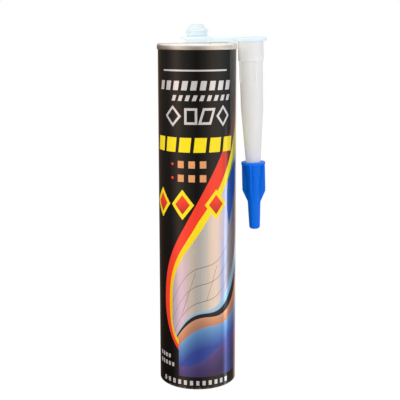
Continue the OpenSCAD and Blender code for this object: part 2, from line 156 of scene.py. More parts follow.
class Graph:
    """One node tree, with methods that add nodes to it."""

    def __init__(self, tree: bpy.types.NodeTree) -> None:
        """Keep the tree, and empty it."""
        self.tree = tree
        tree.nodes.clear()

    def plug(self, socket: Socket, value: Value) -> None:
        """Link or set one input.

        Args:
            socket: the input.
            value: a Wire or a socket to link, or a plain value; a colour may have three parts.
        """
        if isinstance(value, Wire):
            self.tree.links.new(value.socket, socket)
        elif isinstance(value, Socket):
            self.tree.links.new(value, socket)
        elif socket.type == "RGBA" and len(value) == 3:
            socket.default_value = (*value, 1.0)
        else:
            socket.default_value = value

    def node(
        self,
        kind: str,
        settings: Mapping[str, Value] | None = None,
        sockets: Mapping[int | str, Value] | None = None,
    ) -> bpy.types.Node:
        """Add a node.

        Args:
            kind: the node's type.
            settings: properties, set first; "stops" fills a colour ramp and "curve" a float curve.
            sockets: values or links of the inputs, by name or place.

        Returns:
            The node.
        """
        made = self.tree.nodes.new(kind)
        for key, value in (settings or {}).items():
            if key == "stops":
                fill_ramp(made.color_ramp, value)
            elif key == "curve":
                fill_curve(made.mapping, value)
            else:
                setattr(made, key, value)
        for key, value in (sockets or {}).items():
            self.plug(made.inputs[key], value)
        return made

    def wire(
        self,
        kind: str,
        settings: Mapping[str, Value] | None = None,
        sockets: Mapping[int | str, Value] | None = None,
    ) -> Wire:
        """Add a node as node() does, and return its first output as a Wire."""
        return Wire(self, self.node(kind, settings, sockets).outputs[0])

    def math(self, operation: str, *values: Number, clamp: bool = False) -> Wire:
        """Add a Math node on up to three numbers."""
        settings = {"operation": operation, "use_clamp": clamp}
        return self.wire("ShaderNodeMath", settings, dict(enumerate(values)))

    def vector(self, x: Number, y: Number, z: Number) -> Socket:
        """Put three numbers together."""
        return self.node("ShaderNodeCombineXYZ", None, {0: x, 1: y, 2: z}).outputs[0]

    def parted(self, vector: Socket) -> tuple[Wire, Wire, Wire]:
        """Take a vector apart."""
        node = self.node("ShaderNodeSeparateXYZ", None, {0: vector})
        return tuple(Wire(self, output) for output in node.outputs)

    def ramp(self, share: Number, stops: Stops) -> Socket:
        """Colour of a ramp at a share of its length."""
        return self.node("ShaderNodeValToRGB", {"stops": stops}, {"Fac": share}).outputs[0]

    def mixed(self, below: Value, above: Value, share: Number, blend: str = "MIX") -> Socket:
        """Lay one colour over another.

        Args:
            below: the colour where share is 0.
            above: the colour where share is 1.
            share: how much of the upper colour shows.
            blend: the Mix node's blend type.

        Returns:
            The mixed colour's socket.
        """
        settings = {"data_type": "RGBA", "blend_type": blend}
        return self.node("ShaderNodeMix", settings, {0: share, 6: below, 7: above}).outputs[2]


def fill_ramp(ramp: bpy.types.ColorRamp, stops: Stops) -> None:
    """Give a colour ramp its stops, in rising order.

    Args:
        ramp: the ramp, new and with its two first stops.
        stops: each stop as its place and its colour.
    """
    while len(ramp.elements) < len(stops):
        ramp.elements.new(1.0)
    for element, (position, colour) in zip(ramp.elements, stops):
        element.position = position
        element.color = (*colour, 1.0)


def fill_curve(mapping: bpy.types.CurveMapping, points: Sequence[Point]) -> None:
    """Give a float curve its points, in rising order, joined by straight lines.

    Args:
        mapping: the curve, new and with its two end points.
        points: the points.
    """
    line = mapping.curves[0]
    line.points[0].location = points[0]
    line.points[1].location = points[-1]
    for x, y in points[1:-1]:
        line.points.new(x, y)
    for point in line.points:
        point.handle_type = "VECTOR"
    mapping.update()


class Paint(Graph):
    """A material with one Principled shader, and the object's own coordinates in millimetres."""

    def __init__(self, name: str) -> None:
        """Start the material.

        Args:
            name: the material's name.
        """
        self.material = bpy.data.materials.new(name)
        self.material.use_nodes = True
        super().__init__(self.material.node_tree)
        self.shader = self.node("ShaderNodeBsdfPrincipled")
        self.node("ShaderNodeOutputMaterial", None, {"Surface": self.shader.outputs[0]})
        place = self.node("ShaderNodeTexCoord").outputs["Object"]
        scaled = self.node("ShaderNodeVectorMath", {"operation": "SCALE"}, {0: place, "Scale": 1 / MM})
        self.place = scaled.outputs[0]
        self.x, self.y, self.z = self.parted(self.place)

    def set(self, **values: Value) -> None:
        """Set or link inputs of the shader; Base_Color stands for Base Color."""
        for name, value in values.items():
            self.plug(self.shader.inputs[name.replace("_", " ")], value)

    def radius(self) -> Wire:
        """Distance from the Z axis."""
        return (self.x * self.x + self.y * self.y) ** 0.5

    def stretched(self, x: float, y: float, z: float) -> Socket:
        """The coordinates, multiplied along each axis."""
        node = self.node("ShaderNodeVectorMath", {"operation": "MULTIPLY"}, {0: self.place, 1: (x, y, z)})
        return node.outputs[0]

    def noise(self, size: float, detail: float = 3.0, where: Socket | None = None) -> Wire:
        """Cloudy noise around 0.5.

        Args:
            size: the clouds' size in millimetres.
            detail: how many finer layers it has.
            where: the coordinates, or none for the object's own.

        Returns:
            The noise.
        """
        sockets = {"Vector": where or self.place, "Scale": 1 / size, "Detail": detail}
        return self.wire("ShaderNodeTexNoise", None, sockets)

    def bump(self, height: Number, strength: float, depth: float) -> None:
        """Raise the surface by height times depth in millimetres."""
        sockets = {"Height": height, "Strength": strength, "Distance": depth * MM}
        self.set(Normal=self.node("ShaderNodeBump", None, sockets).outputs[0])


class FilmPaint(Paint):
    """A material on the label's film, with u as the distance round the film from the front's middle."""

    def __init__(self, name: str) -> None:
        """Start the material."""
        super().__init__(name)
        self.u = self.math("ARCTAN2", self.x, self.y * -1.0) * FILM_RADIUS


# Finishes


@dataclass(frozen=True)
class HangerTintAndPaintedLight:
    """What sets the nozzle's ring, strap and collar apart from its shank, with painted glows and a painted
    shadow.

    Ranges run from nothing to the full effect, in millimetres.
    """

    # The ring and the strap are thin and clear, the ring less so
    thin: Colour = srgb(232, 247, 255)
    thin_x: Point = (29.0, 17.0)
    strap_x: Point = (9.0, 14.0)
    ring_share: float = 0.6
    # Painted glow in the wall that faces the tube, for light passed through the plastic where the tube shades
    # it, by the distance from the nozzle's leaning axis and by height
    painted_inner_glow: Colour = (1.75, 1.66, 1.42)
    axis_x: float = 33.24
    axis_z: float = 220.2
    axis_lean: float = 0.0288
    wall: Point = (2.5, 7.0)
    wall_z: Point = (217.4, 215.4)
    # Painted glow for the light that the metal end throws up on the ring and, with some loss, on the strap
    painted_bounce_glow: Colour = (2.3, 2.4, 2.42)
    low_x: Point = (25.0, 22.0)
    low_z: Point = (219.9, 217.5)
    strap_loss: float = 0.35
    # Painted shadow along the lower edge of the strap's rib
    painted_shadow: Colour = srgb(70, 67, 65)
    painted_shadow_top: float = 217.14
    painted_shadow_start: float = 8.0
    painted_shadow_x: Point = (21.0, 18.0)

    def lay(self, paint: Paint, tint: Value) -> tuple[Value, Value]:
        """Lay the hanger's colours, its painted glows and its painted shadow over the plastic's own.

        Args:
            paint: the material.
            tint: the plastic's own colour.

        Returns:
            The colour of the surface, with its painted shadow, and the colour of its painted glow.
        """
        x, z = paint.x, paint.z
        strap = x.between(*self.strap_x)
        tint = paint.mixed(
            tint, self.thin, x.between(*self.thin_x) * (strap * (1.0 - self.ring_share) + self.ring_share)
        )
        inward = self.axis_x + (self.axis_z - z) * self.axis_lean - x
        # Painted glow on the wall that faces the tube
        light = paint.mixed(tint, self.painted_inner_glow, inward.between(*self.wall) * z.between(*self.wall_z))
        # Painted glow from the metal end's bounce light, weaker on the strap
        low = z.between(*self.low_z) * x.between(*self.low_x)
        light = paint.mixed(light, self.painted_bounce_glow, low * (1.0 - strap * self.strap_loss))
        # Painted shadow under the strap's rib: a darker colour and no glow there
        in_painted_shadow = (z < self.painted_shadow_top) * (x > self.painted_shadow_start) * x.between(*self.painted_shadow_x)
        return paint.mixed(tint, self.painted_shadow, in_painted_shadow), paint.mixed(light, DARK, in_painted_shadow)


@dataclass(frozen=True)
class SoftPlastic:
    """Moulded polythene: a skin with a soft sheen over a milky body, and a painted glow where glow is set."""

    name: str
    tints: Stops
    roughness: float = 0.36
    milk: float = 0.4
    milk_depth: float = 4.0
    sheen_level: float = 0.5
    shade: float = 0.95
    # Strength of a painted glow, which stands in for light passed through the plastic
    glow: float = 0.0
    clouds: float = 9.0
    grain: float = 0.35
    hanger: HangerTintAndPaintedLight | None = None

    def material(self) -> Material:
        """Build the material: tints by height in millimetres, flow marks, a fine moulded grain and a painted
        glow.

        Returns:
            The material.
        """
        paint = Paint(self.name)
        low, high = self.tints[0][0], self.tints[-1][0]
        stops = [((height - low) / (high - low), tint) for height, tint in self.tints]
        tint = light = paint.ramp(paint.z.between(low, high), stops)
        if self.hanger:
            tint, light = self.hanger.lay(paint, tint)
        flow = paint.noise(self.clouds, 4.0, paint.stretched(1.0, 1.0, 0.35))
        grain = paint.noise(self.grain, 2.0)
        scuffs = paint.noise(1.6, 5.0, paint.stretched(1.0, 1.0, 0.2))
        paint.set(
            Base_Color=paint.mixed(tint, (self.shade,) * 3, ((flow - 0.35) * 2.2).clamped(), "MULTIPLY"),
            Roughness=(self.roughness + (scuffs - 0.5) * 0.22 + (grain - 0.5) * 0.08).clamped(),
            Subsurface_Weight=self.milk,
            Subsurface_Radius=(1.0, 0.95, 0.9),
            Subsurface_Scale=self.milk_depth * MM,
            Specular_IOR_Level=self.sheen_level,
            # Painted glow: emission in the tint's colour, or in the hanger's painted glow colours, as strong
            # as glow
            Emission_Color=light,
            Emission_Strength=self.glow,
        )
        paint.bump(grain * 0.5 + flow * 0.8, 0.5, 0.06)
        return paint.material


@dataclass(frozen=True)
class PressedTin:
    """Bright tinplate with the faint turning marks of its press tool."""

    name: str = "pressed_tin"
    colour: Colour = srgb(244, 238, 230)
    dull: Colour = srgb(226, 216, 204)
    roughness: float = 0.38

    def material(self) -> Material:
        """Build the material.

        Returns:
            The material.
        """
        paint = Paint(self.name)
        radius = paint.radius()
        turning = paint.noise(0.22, 2.0, paint.vector(radius, paint.z, 0.0))
        stains = paint.noise(7.0, 4.0)
        scratch = paint.noise(1.1, 6.0, paint.stretched(1.0, 1.0, 3.0))
        paint.set(
            Base_Color=paint.mixed(self.colour, self.dull, ((stains - 0.4) * 2.5).clamped()),
            Metallic=1.0,
            Roughness=(self.roughness + (turning - 0.5) * 0.12 + (scratch - 0.5) * 0.2).clamped(),
        )
        paint.bump(turning + scratch * 0.6, 0.35, 0.03)
        return paint.material


@dataclass(frozen=True)
class WoundBoard:
    """Spiral-wound board, lined with foil inside and bare at its cut edges."""

    name: str = "wound_board"
    board: Colour = srgb(168, 144, 112)
    fibre: Colour = srgb(120, 98, 72)
    foil: Colour = srgb(205, 206, 208)
    lining_radius: float = 23.47
    ply: float = 0.2
    wind_pitch: float = 78.0
    seam_width: float = 0.5

    def material(self) -> Material:
        """Build the material: plies in the cut edge, a wound seam in the foil.

        Returns:
            The material.
        """
        paint = Paint(self.name)
        radius = paint.radius()
        turn = paint.math("ARCTAN2", paint.y, paint.x) / FULL_TURN
        along = (turn + paint.z / self.wind_pitch) % 1.0
        seam = (along * self.wind_pitch) < self.seam_width
        plies = (radius / self.ply).fold(0.5) * 2.0
        fibres = paint.noise(0.5, 5.0, paint.stretched(1.0, 1.0, 0.3))
        lined = radius < self.lining_radius
        creases = paint.noise(3.5, 4.0, paint.stretched(1.0, 1.0, 0.25))
        board = paint.mixed(self.board, self.fibre, (fibres * 0.8 + plies * 0.35 - 0.25).clamped())
        foil = paint.mixed(self.foil, self.fibre, seam * 0.6)
        paint.set(
            Base_Color=paint.mixed(board, foil, lined),
            Metallic=lined * (1.0 - seam * 0.5),
            Roughness=0.85 - lined * 0.55 + (creases - 0.5) * 0.15,
        )
        paint.bump((1.0 - lined) * (fibres + plies * 0.5) + lined * (creases * 0.6 + seam * 0.5), 0.5, 0.08)
        return paint.material


@dataclass(frozen=True)
class Paste:
    """Neutral sealant, smooth and slightly shiny."""

    name: str = "sealant_paste"
    colour: Colour = srgb(233, 230, 223)
    fold_shade: float = 0.92
    roughness: float = 0.3

    def material(self) -> Material:
        """Build the material.

        Returns:
            The material.
        """
        paint = Paint(self.name)
        folds = paint.noise(6.0, 3.0)
        folded = tuple(self.fold_shade * v for v in self.colour)
        paint.set(
            Base_Color=paint.mixed(self.colour, folded, (folds - 0.3).clamped()),
            Roughness=self.roughness + (folds - 0.5) * 0.2,
            Subsurface_Weight=0.15,
            Subsurface_Scale=1.5 * MM,
        )
        paint.bump(folds, 0.4, 0.3)
        return paint.material


class Ink(Enum):
    """Inks of the label, as linear colours."""

    BLACK = srgb(8, 7, 6)
    UMBER = srgb(58, 50, 48)
    RED = srgb(246, 62, 40)
    MAROON = srgb(142, 20, 18)
    # Red in painted shade, for the red stripe's right side
    SHADED_RED = srgb(88, 30, 28)
    YELLOW = srgb(252, 224, 24)
    OCHRE = srgb(236, 194, 12)
    GREEN = srgb(84, 150, 62)
    LIME = srgb(162, 168, 48)
    BLUE = srgb(46, 96, 180)
    DENIM = srgb(62, 82, 168)
    # Colour of a painted highlight on the violet wave, not an ink of its own
    HIGHLIGHT_AZURE = srgb(74, 110, 204)
    CYAN = srgb(122, 178, 226)
    PALE_CYAN = srgb(176, 212, 236)
    VIOLET = srgb(98, 84, 150)
    DEEP_VIOLET = srgb(70, 54, 92)
    ORANGE = srgb(228, 156, 104)
    TAN = srgb(232, 172, 138)
    SIENNA = srgb(176, 104, 76)
    WHITE = srgb(236, 230, 232)


@dataclass(frozen=True)
class MarkRow:
    """A row of like marks on the label, each leaning by slant over its height."""

    ink: Ink
    first: float
    last: float
    count: int
    height: float
    mark_width: float
    mark_height: float
    slant: float = 0.0

    def mask(self, paint: FilmPaint) -> Wire:
        """Where the marks are.

        Args:
            paint: the film's material.

        Returns:
            The mask.
        """
        rise = paint.z - self.height
        v = paint.u - rise * (self.slant / self.mark_height) if self.slant else paint.u
        half = self.mark_width / 2
        in_row = abs(v - (self.first + self.last) / 2) < (self.last - self.first) / 2 + half
        in_height = abs(rise) < self.mark_height / 2
        if self.count == 1:
            return in_row * in_height
        half_pitch = (self.last - self.first) / (self.count - 1) / 2
        return in_row * in_height * ((v - self.first).fold(half_pitch) < half)


@dataclass(frozen=True)
class Diamond:
    """A diamond on the label."""

    u: float
    height: float
    size: Point

    def mask(self, paint: FilmPaint) -> Wire:
        """Where the diamond is."""
        aside, above = abs(paint.u - self.u), abs(paint.z - self.height)
        return aside * (2 / self.size[0]) + above * (2 / self.size[1]) < 1.0


@dataclass(frozen=True)
class Crest:
    """Crest line of a wave in the panel: a slope with one swell along it."""

    low: float
    rise: float
    swell: float
    phase: float

    def height(self, along: Wire) -> Wire:
        """Height of the crest where along runs from 0 at the panel's left edge to 1 at its right."""
        swelling = (along * FULL_TURN + math.radians(self.phase)).sine()
        return self.low + along * self.rise + swelling * self.swell


@dataclass(frozen=True)
class Edge:
    """Edge of a field on the label: the distance round the film by height, joined by straight lines."""

    points: tuple[Point, ...]

    HALF_WIDTH = 40.0

    def u(self, paint: FilmPaint) -> Wire:
        """Place of the edge at each height.

        Args:
            paint: the film's material.

        Returns:
            Distance round the film from the front's middle.
        """
        low, high = self.points[0][1], self.points[-1][1]
        half = self.HALF_WIDTH
        line = [((height - low) / (high - low), (u + half) / (2 * half)) for u, height in self.points]
        value = paint.wire("ShaderNodeFloatCurve", {"curve": line}, {"Value": paint.z.between(low, high)})
        return value * (2 * half) - half


def curve(a: Point, b: Point, c: Point, d: Point, steps: int = 14) -> list[Point]:
    """Points of a cubic curve without its first one, b and c being its handles.

    Args:
        a: where it starts.
        b: its first handle.
        c: its second handle.
        d: where it ends.
        steps: pieces that it has.

    Returns:
        The points.
    """
    points = []
    for i in range(1, steps + 1):
        t = i / steps
        s = 1 - t
        p = s**3 * Vector(a) + 3 * t * s**2 * Vector(b) + 3 * t**2 * s * Vector(c) + t**3 * Vector(d)
        points.append((p.x, p.y))
    return points


PANEL_LEFT = -12.5
PANEL_RIGHT = FILM_RADIUS * FULL_TURN / 4
KNEE = 108.0
LENS_FOOT = (22.7, 104.6)


def lens_edge(low_handle: Point, high_handle: Point, head: Point) -> Edge:
    """Edge of the blue lens, from its foot to its head."""
    return Edge((LENS_FOOT, *curve(LENS_FOOT, low_handle, high_handle, head)))


def stripe_edge(foot_height: float, belly: Point, knee_u: float, bow: float) -> Edge:
    """Edge of a stripe: a hook up from its foot, a belly, a knee, then a run that bows to the right.

    Args:
        foot_height: the height of its lowest point, at the panel's left edge.
        belly: its leftmost point.
        knee_u: where its knee is.
        bow: how far its run bows.

    Returns:
        The edge.
    """
    hook, belly_foot, belly_head, knee_reach = 6.0, 12.0, 24.0, 17.0
    lean, bow_turn, steps = 0.5406, math.pi * 4 / 3, 14
    foot = (PANEL_LEFT, foot_height)
    points = [foot, *curve(foot, (foot[0] - hook, foot[1] + hook), (belly[0], belly[1] - belly_foot), belly)]
    before_knee = (knee_u - knee_reach * lean, KNEE - knee_reach)
    points += curve(belly, (belly[0], belly[1] + belly_head), before_knee, (knee_u, KNEE))
    for i in range(1, steps + 1):
        t = i / steps
        run = (PANEL_RIGHT - knee_u) * t
        points.append((knee_u + run + bow * max(0.0, math.sin(t * bow_turn)), KNEE + run / lean))
    return Edge(tuple(points))


@dataclass(frozen=True)
class PrintedFoil:
    """The label: a gloss film over foil, printed in fields of colour.

    The fields are laid out on the unrolled film, by u, the distance from the front's middle, and the height.
    """

    name: str = "printed_foil"
    foot_band: float = 8.0

    # Stripes, crests of the panel's waves, and the green field and the blue lens at its head
    red_edge: Edge = stripe_edge(25.0, (-23.6, 56.0), -6.5, 0.0)
    yellow_edge: Edge = stripe_edge(28.5, (-19.5, 57.0), 0.5, 2.65)
    inner_edge: Edge = stripe_edge(32.0, (-17.1, 58.0), 5.5, 2.05)
    violet_crest: Crest = Crest(16, 18, 3.5, 200)
    blue_crest: Crest = Crest(26, 34, 5, 20)
    orange_crest: Crest = Crest(31, 40, 6.5, 35)
    dark_crest: Crest = Crest(30.6, 52.1, 7.9, 48)
    cyan_crest: Crest = Crest(30, 64, 9, 60)
    wave_depth: float = 14.0
    # A painted highlight on the violet wave: an azure streak where the strip's reflection falls, its place,
    # reach and share
    azure_at: float = 22.5
    highlight_reach: float = 6.0
    highlight_share: float = 0.6
    green_foot: Point = (19.3, 129.8)
    green_rise: float = 26.8
    lens_left: Edge = lens_edge((20.5, 112.7), (20.1, 123.4), (21.6, 133.1))
    lens_right: Edge = lens_edge((26.5, 114.9), (31.2, 125.5), (35.1, 154.2))

    # Where the inks turn, by u or by height; the red's turn to wine towards the right is painted shade
    lime_z: Point = (138.0, 146.0)
    ochre_z: Point = (KNEE, 58.0)
    ochre_u: Point = (30.0, 8.0)
    lime_u: Point = (24.0, 29.0)
    wine_u: Point = (16.5, 23.0)

    # Marks
    badge_us: tuple[float, ...] = (-26.0, -9.5, 12.0)
    badge_height: float = 118.5
    badge_size: Point = (15.0, 19.0)
    badge_core: Point = (9.8, 12.2)
    core_z: Point = (121.5, 112.5)
    core_shade: float = 0.7
    sign_height: float = 173.0
    point_heights: tuple[float, ...] = (143.5, 135.0)

    # How much each kind of print shines like metal
    ink_shine: float = 0.12
    point_shine: float = 0.1
    white_shine: float = 0.55
    wave_shine: float = 0.5
    green_shine: float = 0.4
    foil_shine: float = 0.62

    # Bare foil: where its tints start and end, how far they drift, and its streaks and thin lines. The tints
    # hold a painted blue highlight at 0.73, where the strip's reflection falls, and painted shade that
    # darkens them towards the panel's right edge
    foil_u: Point = (-26.0, 38.0)
    foil_drift: float = 0.35
    foil_tints_highlight_and_shade: Stops = (
        (0.0, srgb(206, 214, 222)),
        (0.2, srgb(232, 206, 232)),
        (0.3, srgb(244, 224, 204)),
        (0.45, srgb(226, 222, 216)),
        (0.6, srgb(246, 222, 206)),
        (0.68, srgb(236, 214, 218)),
        (0.73, srgb(190, 200, 238)),
        (0.78, srgb(180, 178, 190)),
        (0.84, srgb(160, 155, 161)),
        (0.95, srgb(74, 71, 73)),
    )
    streak: Colour = srgb(150, 142, 148)
    streak_share: float = 0.22
    line: Colour = srgb(92, 88, 98)
    line_share: float = 0.75
    # Wear along the film's lower edge
    worn_foot: Colour = srgb(150, 132, 112)
    worn_height: float = 1.6

    def rows(self) -> Iterable[MarkRow]:
        """Rows of marks that stop at the stripes.

        Returns:
            The rows.
        """
        yield MarkRow(Ink.WHITE, -2, -2, 1, 200.5, 44, 1)
        yield MarkRow(Ink.WHITE, -25, 21, 9, 191.5, 3.6, 5.6, 1)
        yield MarkRow(Ink.WHITE, -15, 21, 9, 184, 2.4, 3.4, 1.2)
        yield MarkRow(Ink.WHITE, -24, 20, 12, self.foot_band / 2, 2, 3)
        yield MarkRow(Ink.WHITE, -29, -20, 4, 19.5, 1.8, 2.6)
        yield MarkRow(Ink.WHITE, -29, -17, 5, 14.5, 1.8, 2.6)
        for height in self.point_heights:
            yield MarkRow(Ink.ORANGE, -10.5, 3.5, 3, height, 4, 4.4)

    def signs(self, paint: FilmPaint) -> Wire:
        """Open frames in a row: two diamonds, and between them a square and a slanted one.

        Args:
            paint: the film's material.

        Returns:
            Their mask.
        """
        at = self.sign_height
        frames = (
            (Diamond(-16, at, (12, 13)), Diamond(-16, at, (8, 9))),
            (Diamond(17, at, (10, 13)), Diamond(17, at, (6.6, 9))),
            (MarkRow(Ink.WHITE, -4, -4, 1, at, 8, 10), MarkRow(Ink.WHITE, -4, -4, 1, at, 5, 7)),
            (MarkRow(Ink.WHITE, 6, 6, 1, at, 8, 10, 3), MarkRow(Ink.WHITE, 6, 6, 1, at, 5, 7, 2.1)),
        )
        return reduce(or_, (outer.mask(paint) - inner.mask(paint) for outer, inner in frames))

    def foil(self, paint: FilmPaint, over_cyan: Wire) -> Socket:
        """Bare foil of the panel, with its shifting tints, a painted highlight and painted shade in them, and
        a few thin curved lines.

        Args:
            paint: the film's material.
            over_cyan: height above the highest wave.

        Returns:
            The foil's colour.
        """
        u, z = paint.u, paint.z
        left, right = self.foil_u
        drift = paint.noise(14.0, 2.0, paint.stretched(1.0, 1.0, 0.12)) - 0.5
        # The tints carry a painted highlight and painted shade towards the right edge
        tint = paint.ramp(((u - left) / (right - left) + drift * self.foil_drift).clamped(), self.foil_tints_highlight_and_shade)
        lines = ((over_cyan - 6.0 - u * 0.06).fold(5.5) < 0.22) * (over_cyan > 3.0) * (over_cyan < 34.0)
        rays = ((u * 1.1 - z * 0.35).fold(7.0) < 0.16) * (over_cyan > 6.0) * (over_cyan < 26.0)
        streaks = ((paint.noise(0.9, 3.0, paint.stretched(1.0, 1.0, 0.02)) - 0.5) * 3.0).clamped()
        streaked = paint.mixed(tint, self.streak, streaks * self.streak_share)
        return paint.mixed(streaked, self.line, (lines | rays) * self.line_share)

    def panel_layers(self, paint: FilmPaint, panel: Wire) -> Iterable[Layer]:
        """The panel's foil, its waves, the lens and the green field, from below to above.

        Args:
            paint: the film's material.
            panel: where the panel is.

        Returns:
            The layers.
        """
        u, z = paint.u, paint.z
        along = (u - PANEL_LEFT) / (PANEL_RIGHT - PANEL_LEFT)
        over_cyan = z - self.cyan_crest.height(along)
        yield panel, self.foil(paint, over_cyan), self.foil_shine
        waves = (
            (over_cyan * -1.0, Ink.PALE_CYAN, Ink.CYAN),
            (self.dark_crest.height(along) - z, Ink.UMBER, Ink.BLACK),
            (self.orange_crest.height(along) - z, Ink.TAN, Ink.SIENNA),
            (self.blue_crest.height(along) - z, Ink.CYAN, Ink.DENIM),
            (self.violet_crest.height(along) - z, Ink.VIOLET, Ink.DEEP_VIOLET),
        )
        for depth, light, deep in waves:
            colour = paint.mixed(light.value, deep.value, (depth / self.wave_depth).clamped() ** 0.7)
            # Painted highlight: an azure streak on the violet wave where the strip's reflection falls
            if light is Ink.VIOLET:
                painted_highlight = (1.0 - abs(u - self.azure_at) / self.highlight_reach).clamped() ** 1.5
                colour = paint.mixed(colour, Ink.HIGHLIGHT_AZURE.value, painted_highlight * self.highlight_share)
            yield panel * (depth > 0.0), colour, self.wave_shine
        in_lens = (u > self.lens_left.u(paint)) * (u < self.lens_right.u(paint))
        yield panel * in_lens * (z > self.lens_left.points[0][1]), Ink.BLUE.value, self.wave_shine
        foot_u, foot_height = self.green_foot
        green_low = foot_height + (u - foot_u) * (self.green_rise / (PANEL_RIGHT - foot_u))
        green = paint.mixed(Ink.GREEN.value, Ink.LIME.value, z.between(*self.lime_z))
        yield panel * (z > green_low), green, self.green_shine

    def stripe_layers(self, paint: FilmPaint, on_front: Wire, edges: Sequence[Wire]) -> Iterable[Layer]:
        """The yellow stripe and the red one.

        Args:
            paint: the film's material.
            on_front: where the stripes may be.
            edges: the red stripe's outer edge, the edge between the stripes, and the panel's.

        Returns:
            The layers.
        """
        u = paint.u
        ochre = paint.z.between(*self.ochre_z) * u.between(*self.ochre_u)
        yellow = paint.mixed(Ink.YELLOW.value, Ink.OCHRE.value, ochre)
        yellow = paint.mixed(yellow, Ink.LIME.value, u.between(*self.lime_u))
        yield (u > edges[1]) * (u < edges[2]) * on_front, yellow, self.ink_shine
        # The red darkens towards the right as painted shade of the side that turns away
        red = paint.mixed(Ink.RED.value, Ink.SHADED_RED.value, u.between(*self.wine_u))
        yield (u > edges[0]) * (u < edges[1]) * on_front, red, self.ink_shine

    def layers(self, paint: FilmPaint) -> Iterable[Layer]:
        """All fields of the print, from below to above.

        Args:
            paint: the film's material.

        Returns:
            The layers.
        """
        for row in self.rows():
            shine = self.white_shine if row.ink is Ink.WHITE else self.point_shine
            yield row.mask(paint), row.ink.value, shine
        yield self.signs(paint), Ink.WHITE.value, self.white_shine
        for height in self.point_heights:
            yield Diamond(-16.5, height, (2.2, 2.2)).mask(paint), Ink.RED.value, self.point_shine
        edges = [edge.u(paint) for edge in (self.red_edge, self.yellow_edge, self.inner_edge)]
        on_front = (paint.u < PANEL_RIGHT) * (paint.z > self.foot_band)
        yield from self.panel_layers(paint, (paint.u > edges[2]) * on_front)
        yield from self.stripe_layers(paint, on_front, edges)
        blocks = MarkRow(Ink.YELLOW, -27, 21, 6, 155.5, 7.4, 9, 1)
        yield blocks.mask(paint), Ink.YELLOW.value, self.ink_shine
        core = paint.mixed(Ink.RED.value, Ink.MAROON.value, paint.z.between(*self.core_z) * self.core_shade)
        for badge_u in self.badge_us:
            badge = Diamond(badge_u, self.badge_height, self.badge_size)
            yield badge.mask(paint), Ink.YELLOW.value, self.ink_shine
            yield Diamond(badge_u, self.badge_height, self.badge_core).mask(paint), core, self.ink_shine

    def material(self) -> Material:
        """Build the material, laying the print's fields over the black ground one by one.

        Returns:
            The material.
        """
        paint = FilmPaint(self.name)
        colour: Value = Ink.BLACK.value
        metal: Number = 0.0
        for mask, ink, shine in self.layers(paint):
            colour = paint.mixed(colour, ink, mask)
            metal = metal + (shine - metal) * mask
        waves_in_film = paint.noise(9.0, 2.0, paint.stretched(1.0, 1.0, 0.16))
        rubs = paint.noise(1.4, 6.0, paint.stretched(1.0, 1.0, 0.35))
        worn = ((rubs - 0.62) * 6.0).clamped()
        foot_wear = paint.z.between(self.worn_height, 0.0) * ((rubs - 0.45) * 5.0).clamped()
        paint.set(
            Base_Color=paint.mixed(colour, self.worn_foot, foot_wear * 0.7),
            Metallic=metal * (1.0 - foot_wear),
            Roughness=0.13 + worn * 0.06 + metal * 0.16 + foot_wear * 0.3,
        )
        paint.bump(waves_in_film + rubs * 0.05, 0.35, 0.12)
        return paint.material


# Meshes


class Lie(Enum):
    """How a prism's outline lies: flat, or upright across the Y axis."""

    FLAT = "flat"
    UPRIGHT = "upright"


def rounded(corners: Sequence[Corner], steps: int = 4) -> list[Point]:
    """Round the corners of a closed outline.

    Args:
        corners: each corner as x, y and its radius.
        steps: pieces that a round corner has.

    Returns:
        The outline's points.
    """
    points: list[Point] = []
    for i, (x, y, radius) in enumerate(corners):
        if radius <= 0.0:
            points.append((x, y))
            continue
        here = Vector((x, y))
        back = Vector(corners[i - 1][:2]) - here
        ahead = Vector(corners[(i + 1) % len(corners)][:2]) - here
        reach = min(radius / math.tan(back.angle(ahead) / 2), 0.49 * back.length, 0.49 * ahead.length)
        start, end = here + back.normalized() * reach, here + ahead.normalized() * reach
        for k in range(steps + 1):
            t = k / steps
            p = (1 - t) ** 2 * start + 2 * t * (1 - t) * here + t * t * end
            points.append((p.x, p.y))
    return points


def rectangle(low: Point, high: Point, easing: Sequence[float] = (0.0,) * 4, steps: int = 2) -> list[Point]:
    """Rectangle with rounded corners.

    Args:
        low: its lower left corner.
        high: its upper right corner.
        easing: the radius of each corner, anticlockwise from the lower left one.
        steps: pieces that a round corner has.

    Returns:
        The outline's points.
    """
    corners = (low, (high[0], low[1]), high, (low[0], high[1]))
    return rounded([(*corner, radius) for corner, radius in zip(corners, easing)], steps)


def arc(centre: Point, radius: float, start: float, end: float, steps: int = 8) -> list[Point]:
    """Points on an arc, its angles in degrees."""
    angles = [math.radians(start + (end - start) * i / steps) for i in range(steps + 1)]
    return [(centre[0] + radius * math.cos(a), centre[1] + radius * math.sin(a)) for a in angles]


def beside(path: Sequence[Point], distance: float) -> list[Point]:
    """A path moved to its left by distance, mitred at its bends.

    Args:
        path: the points of the path.
        distance: how far it moves.

    Returns:
        The moved path's points.
    """
    sides = []
    for a, b in zip(path, path[1:]):
        run = (Vector(b) - Vector(a)).normalized()
        sides.append(Vector((-run.y, run.x)))
    moved = [Vector(path[0]) + sides[0] * distance]
    for point, before, after in zip(path[1:-1], sides, sides[1:]):
        middle = (before + after).normalized()
        moved.append(Vector(point) + middle * (distance / middle.dot(before)))
    moved.append(Vector(path[-1]) + sides[-1] * distance)
    return [(p.x, p.y) for p in moved]


def smoothed(mesh: bpy.types.Mesh, sharp_over: float = 38.0) -> None:
    """Shade a mesh smooth, with edges sharper than sharp_over degrees kept."""
    mesh.shade_smooth()
    mesh.set_sharp_from_angle(angle=math.radians(sharp_over))


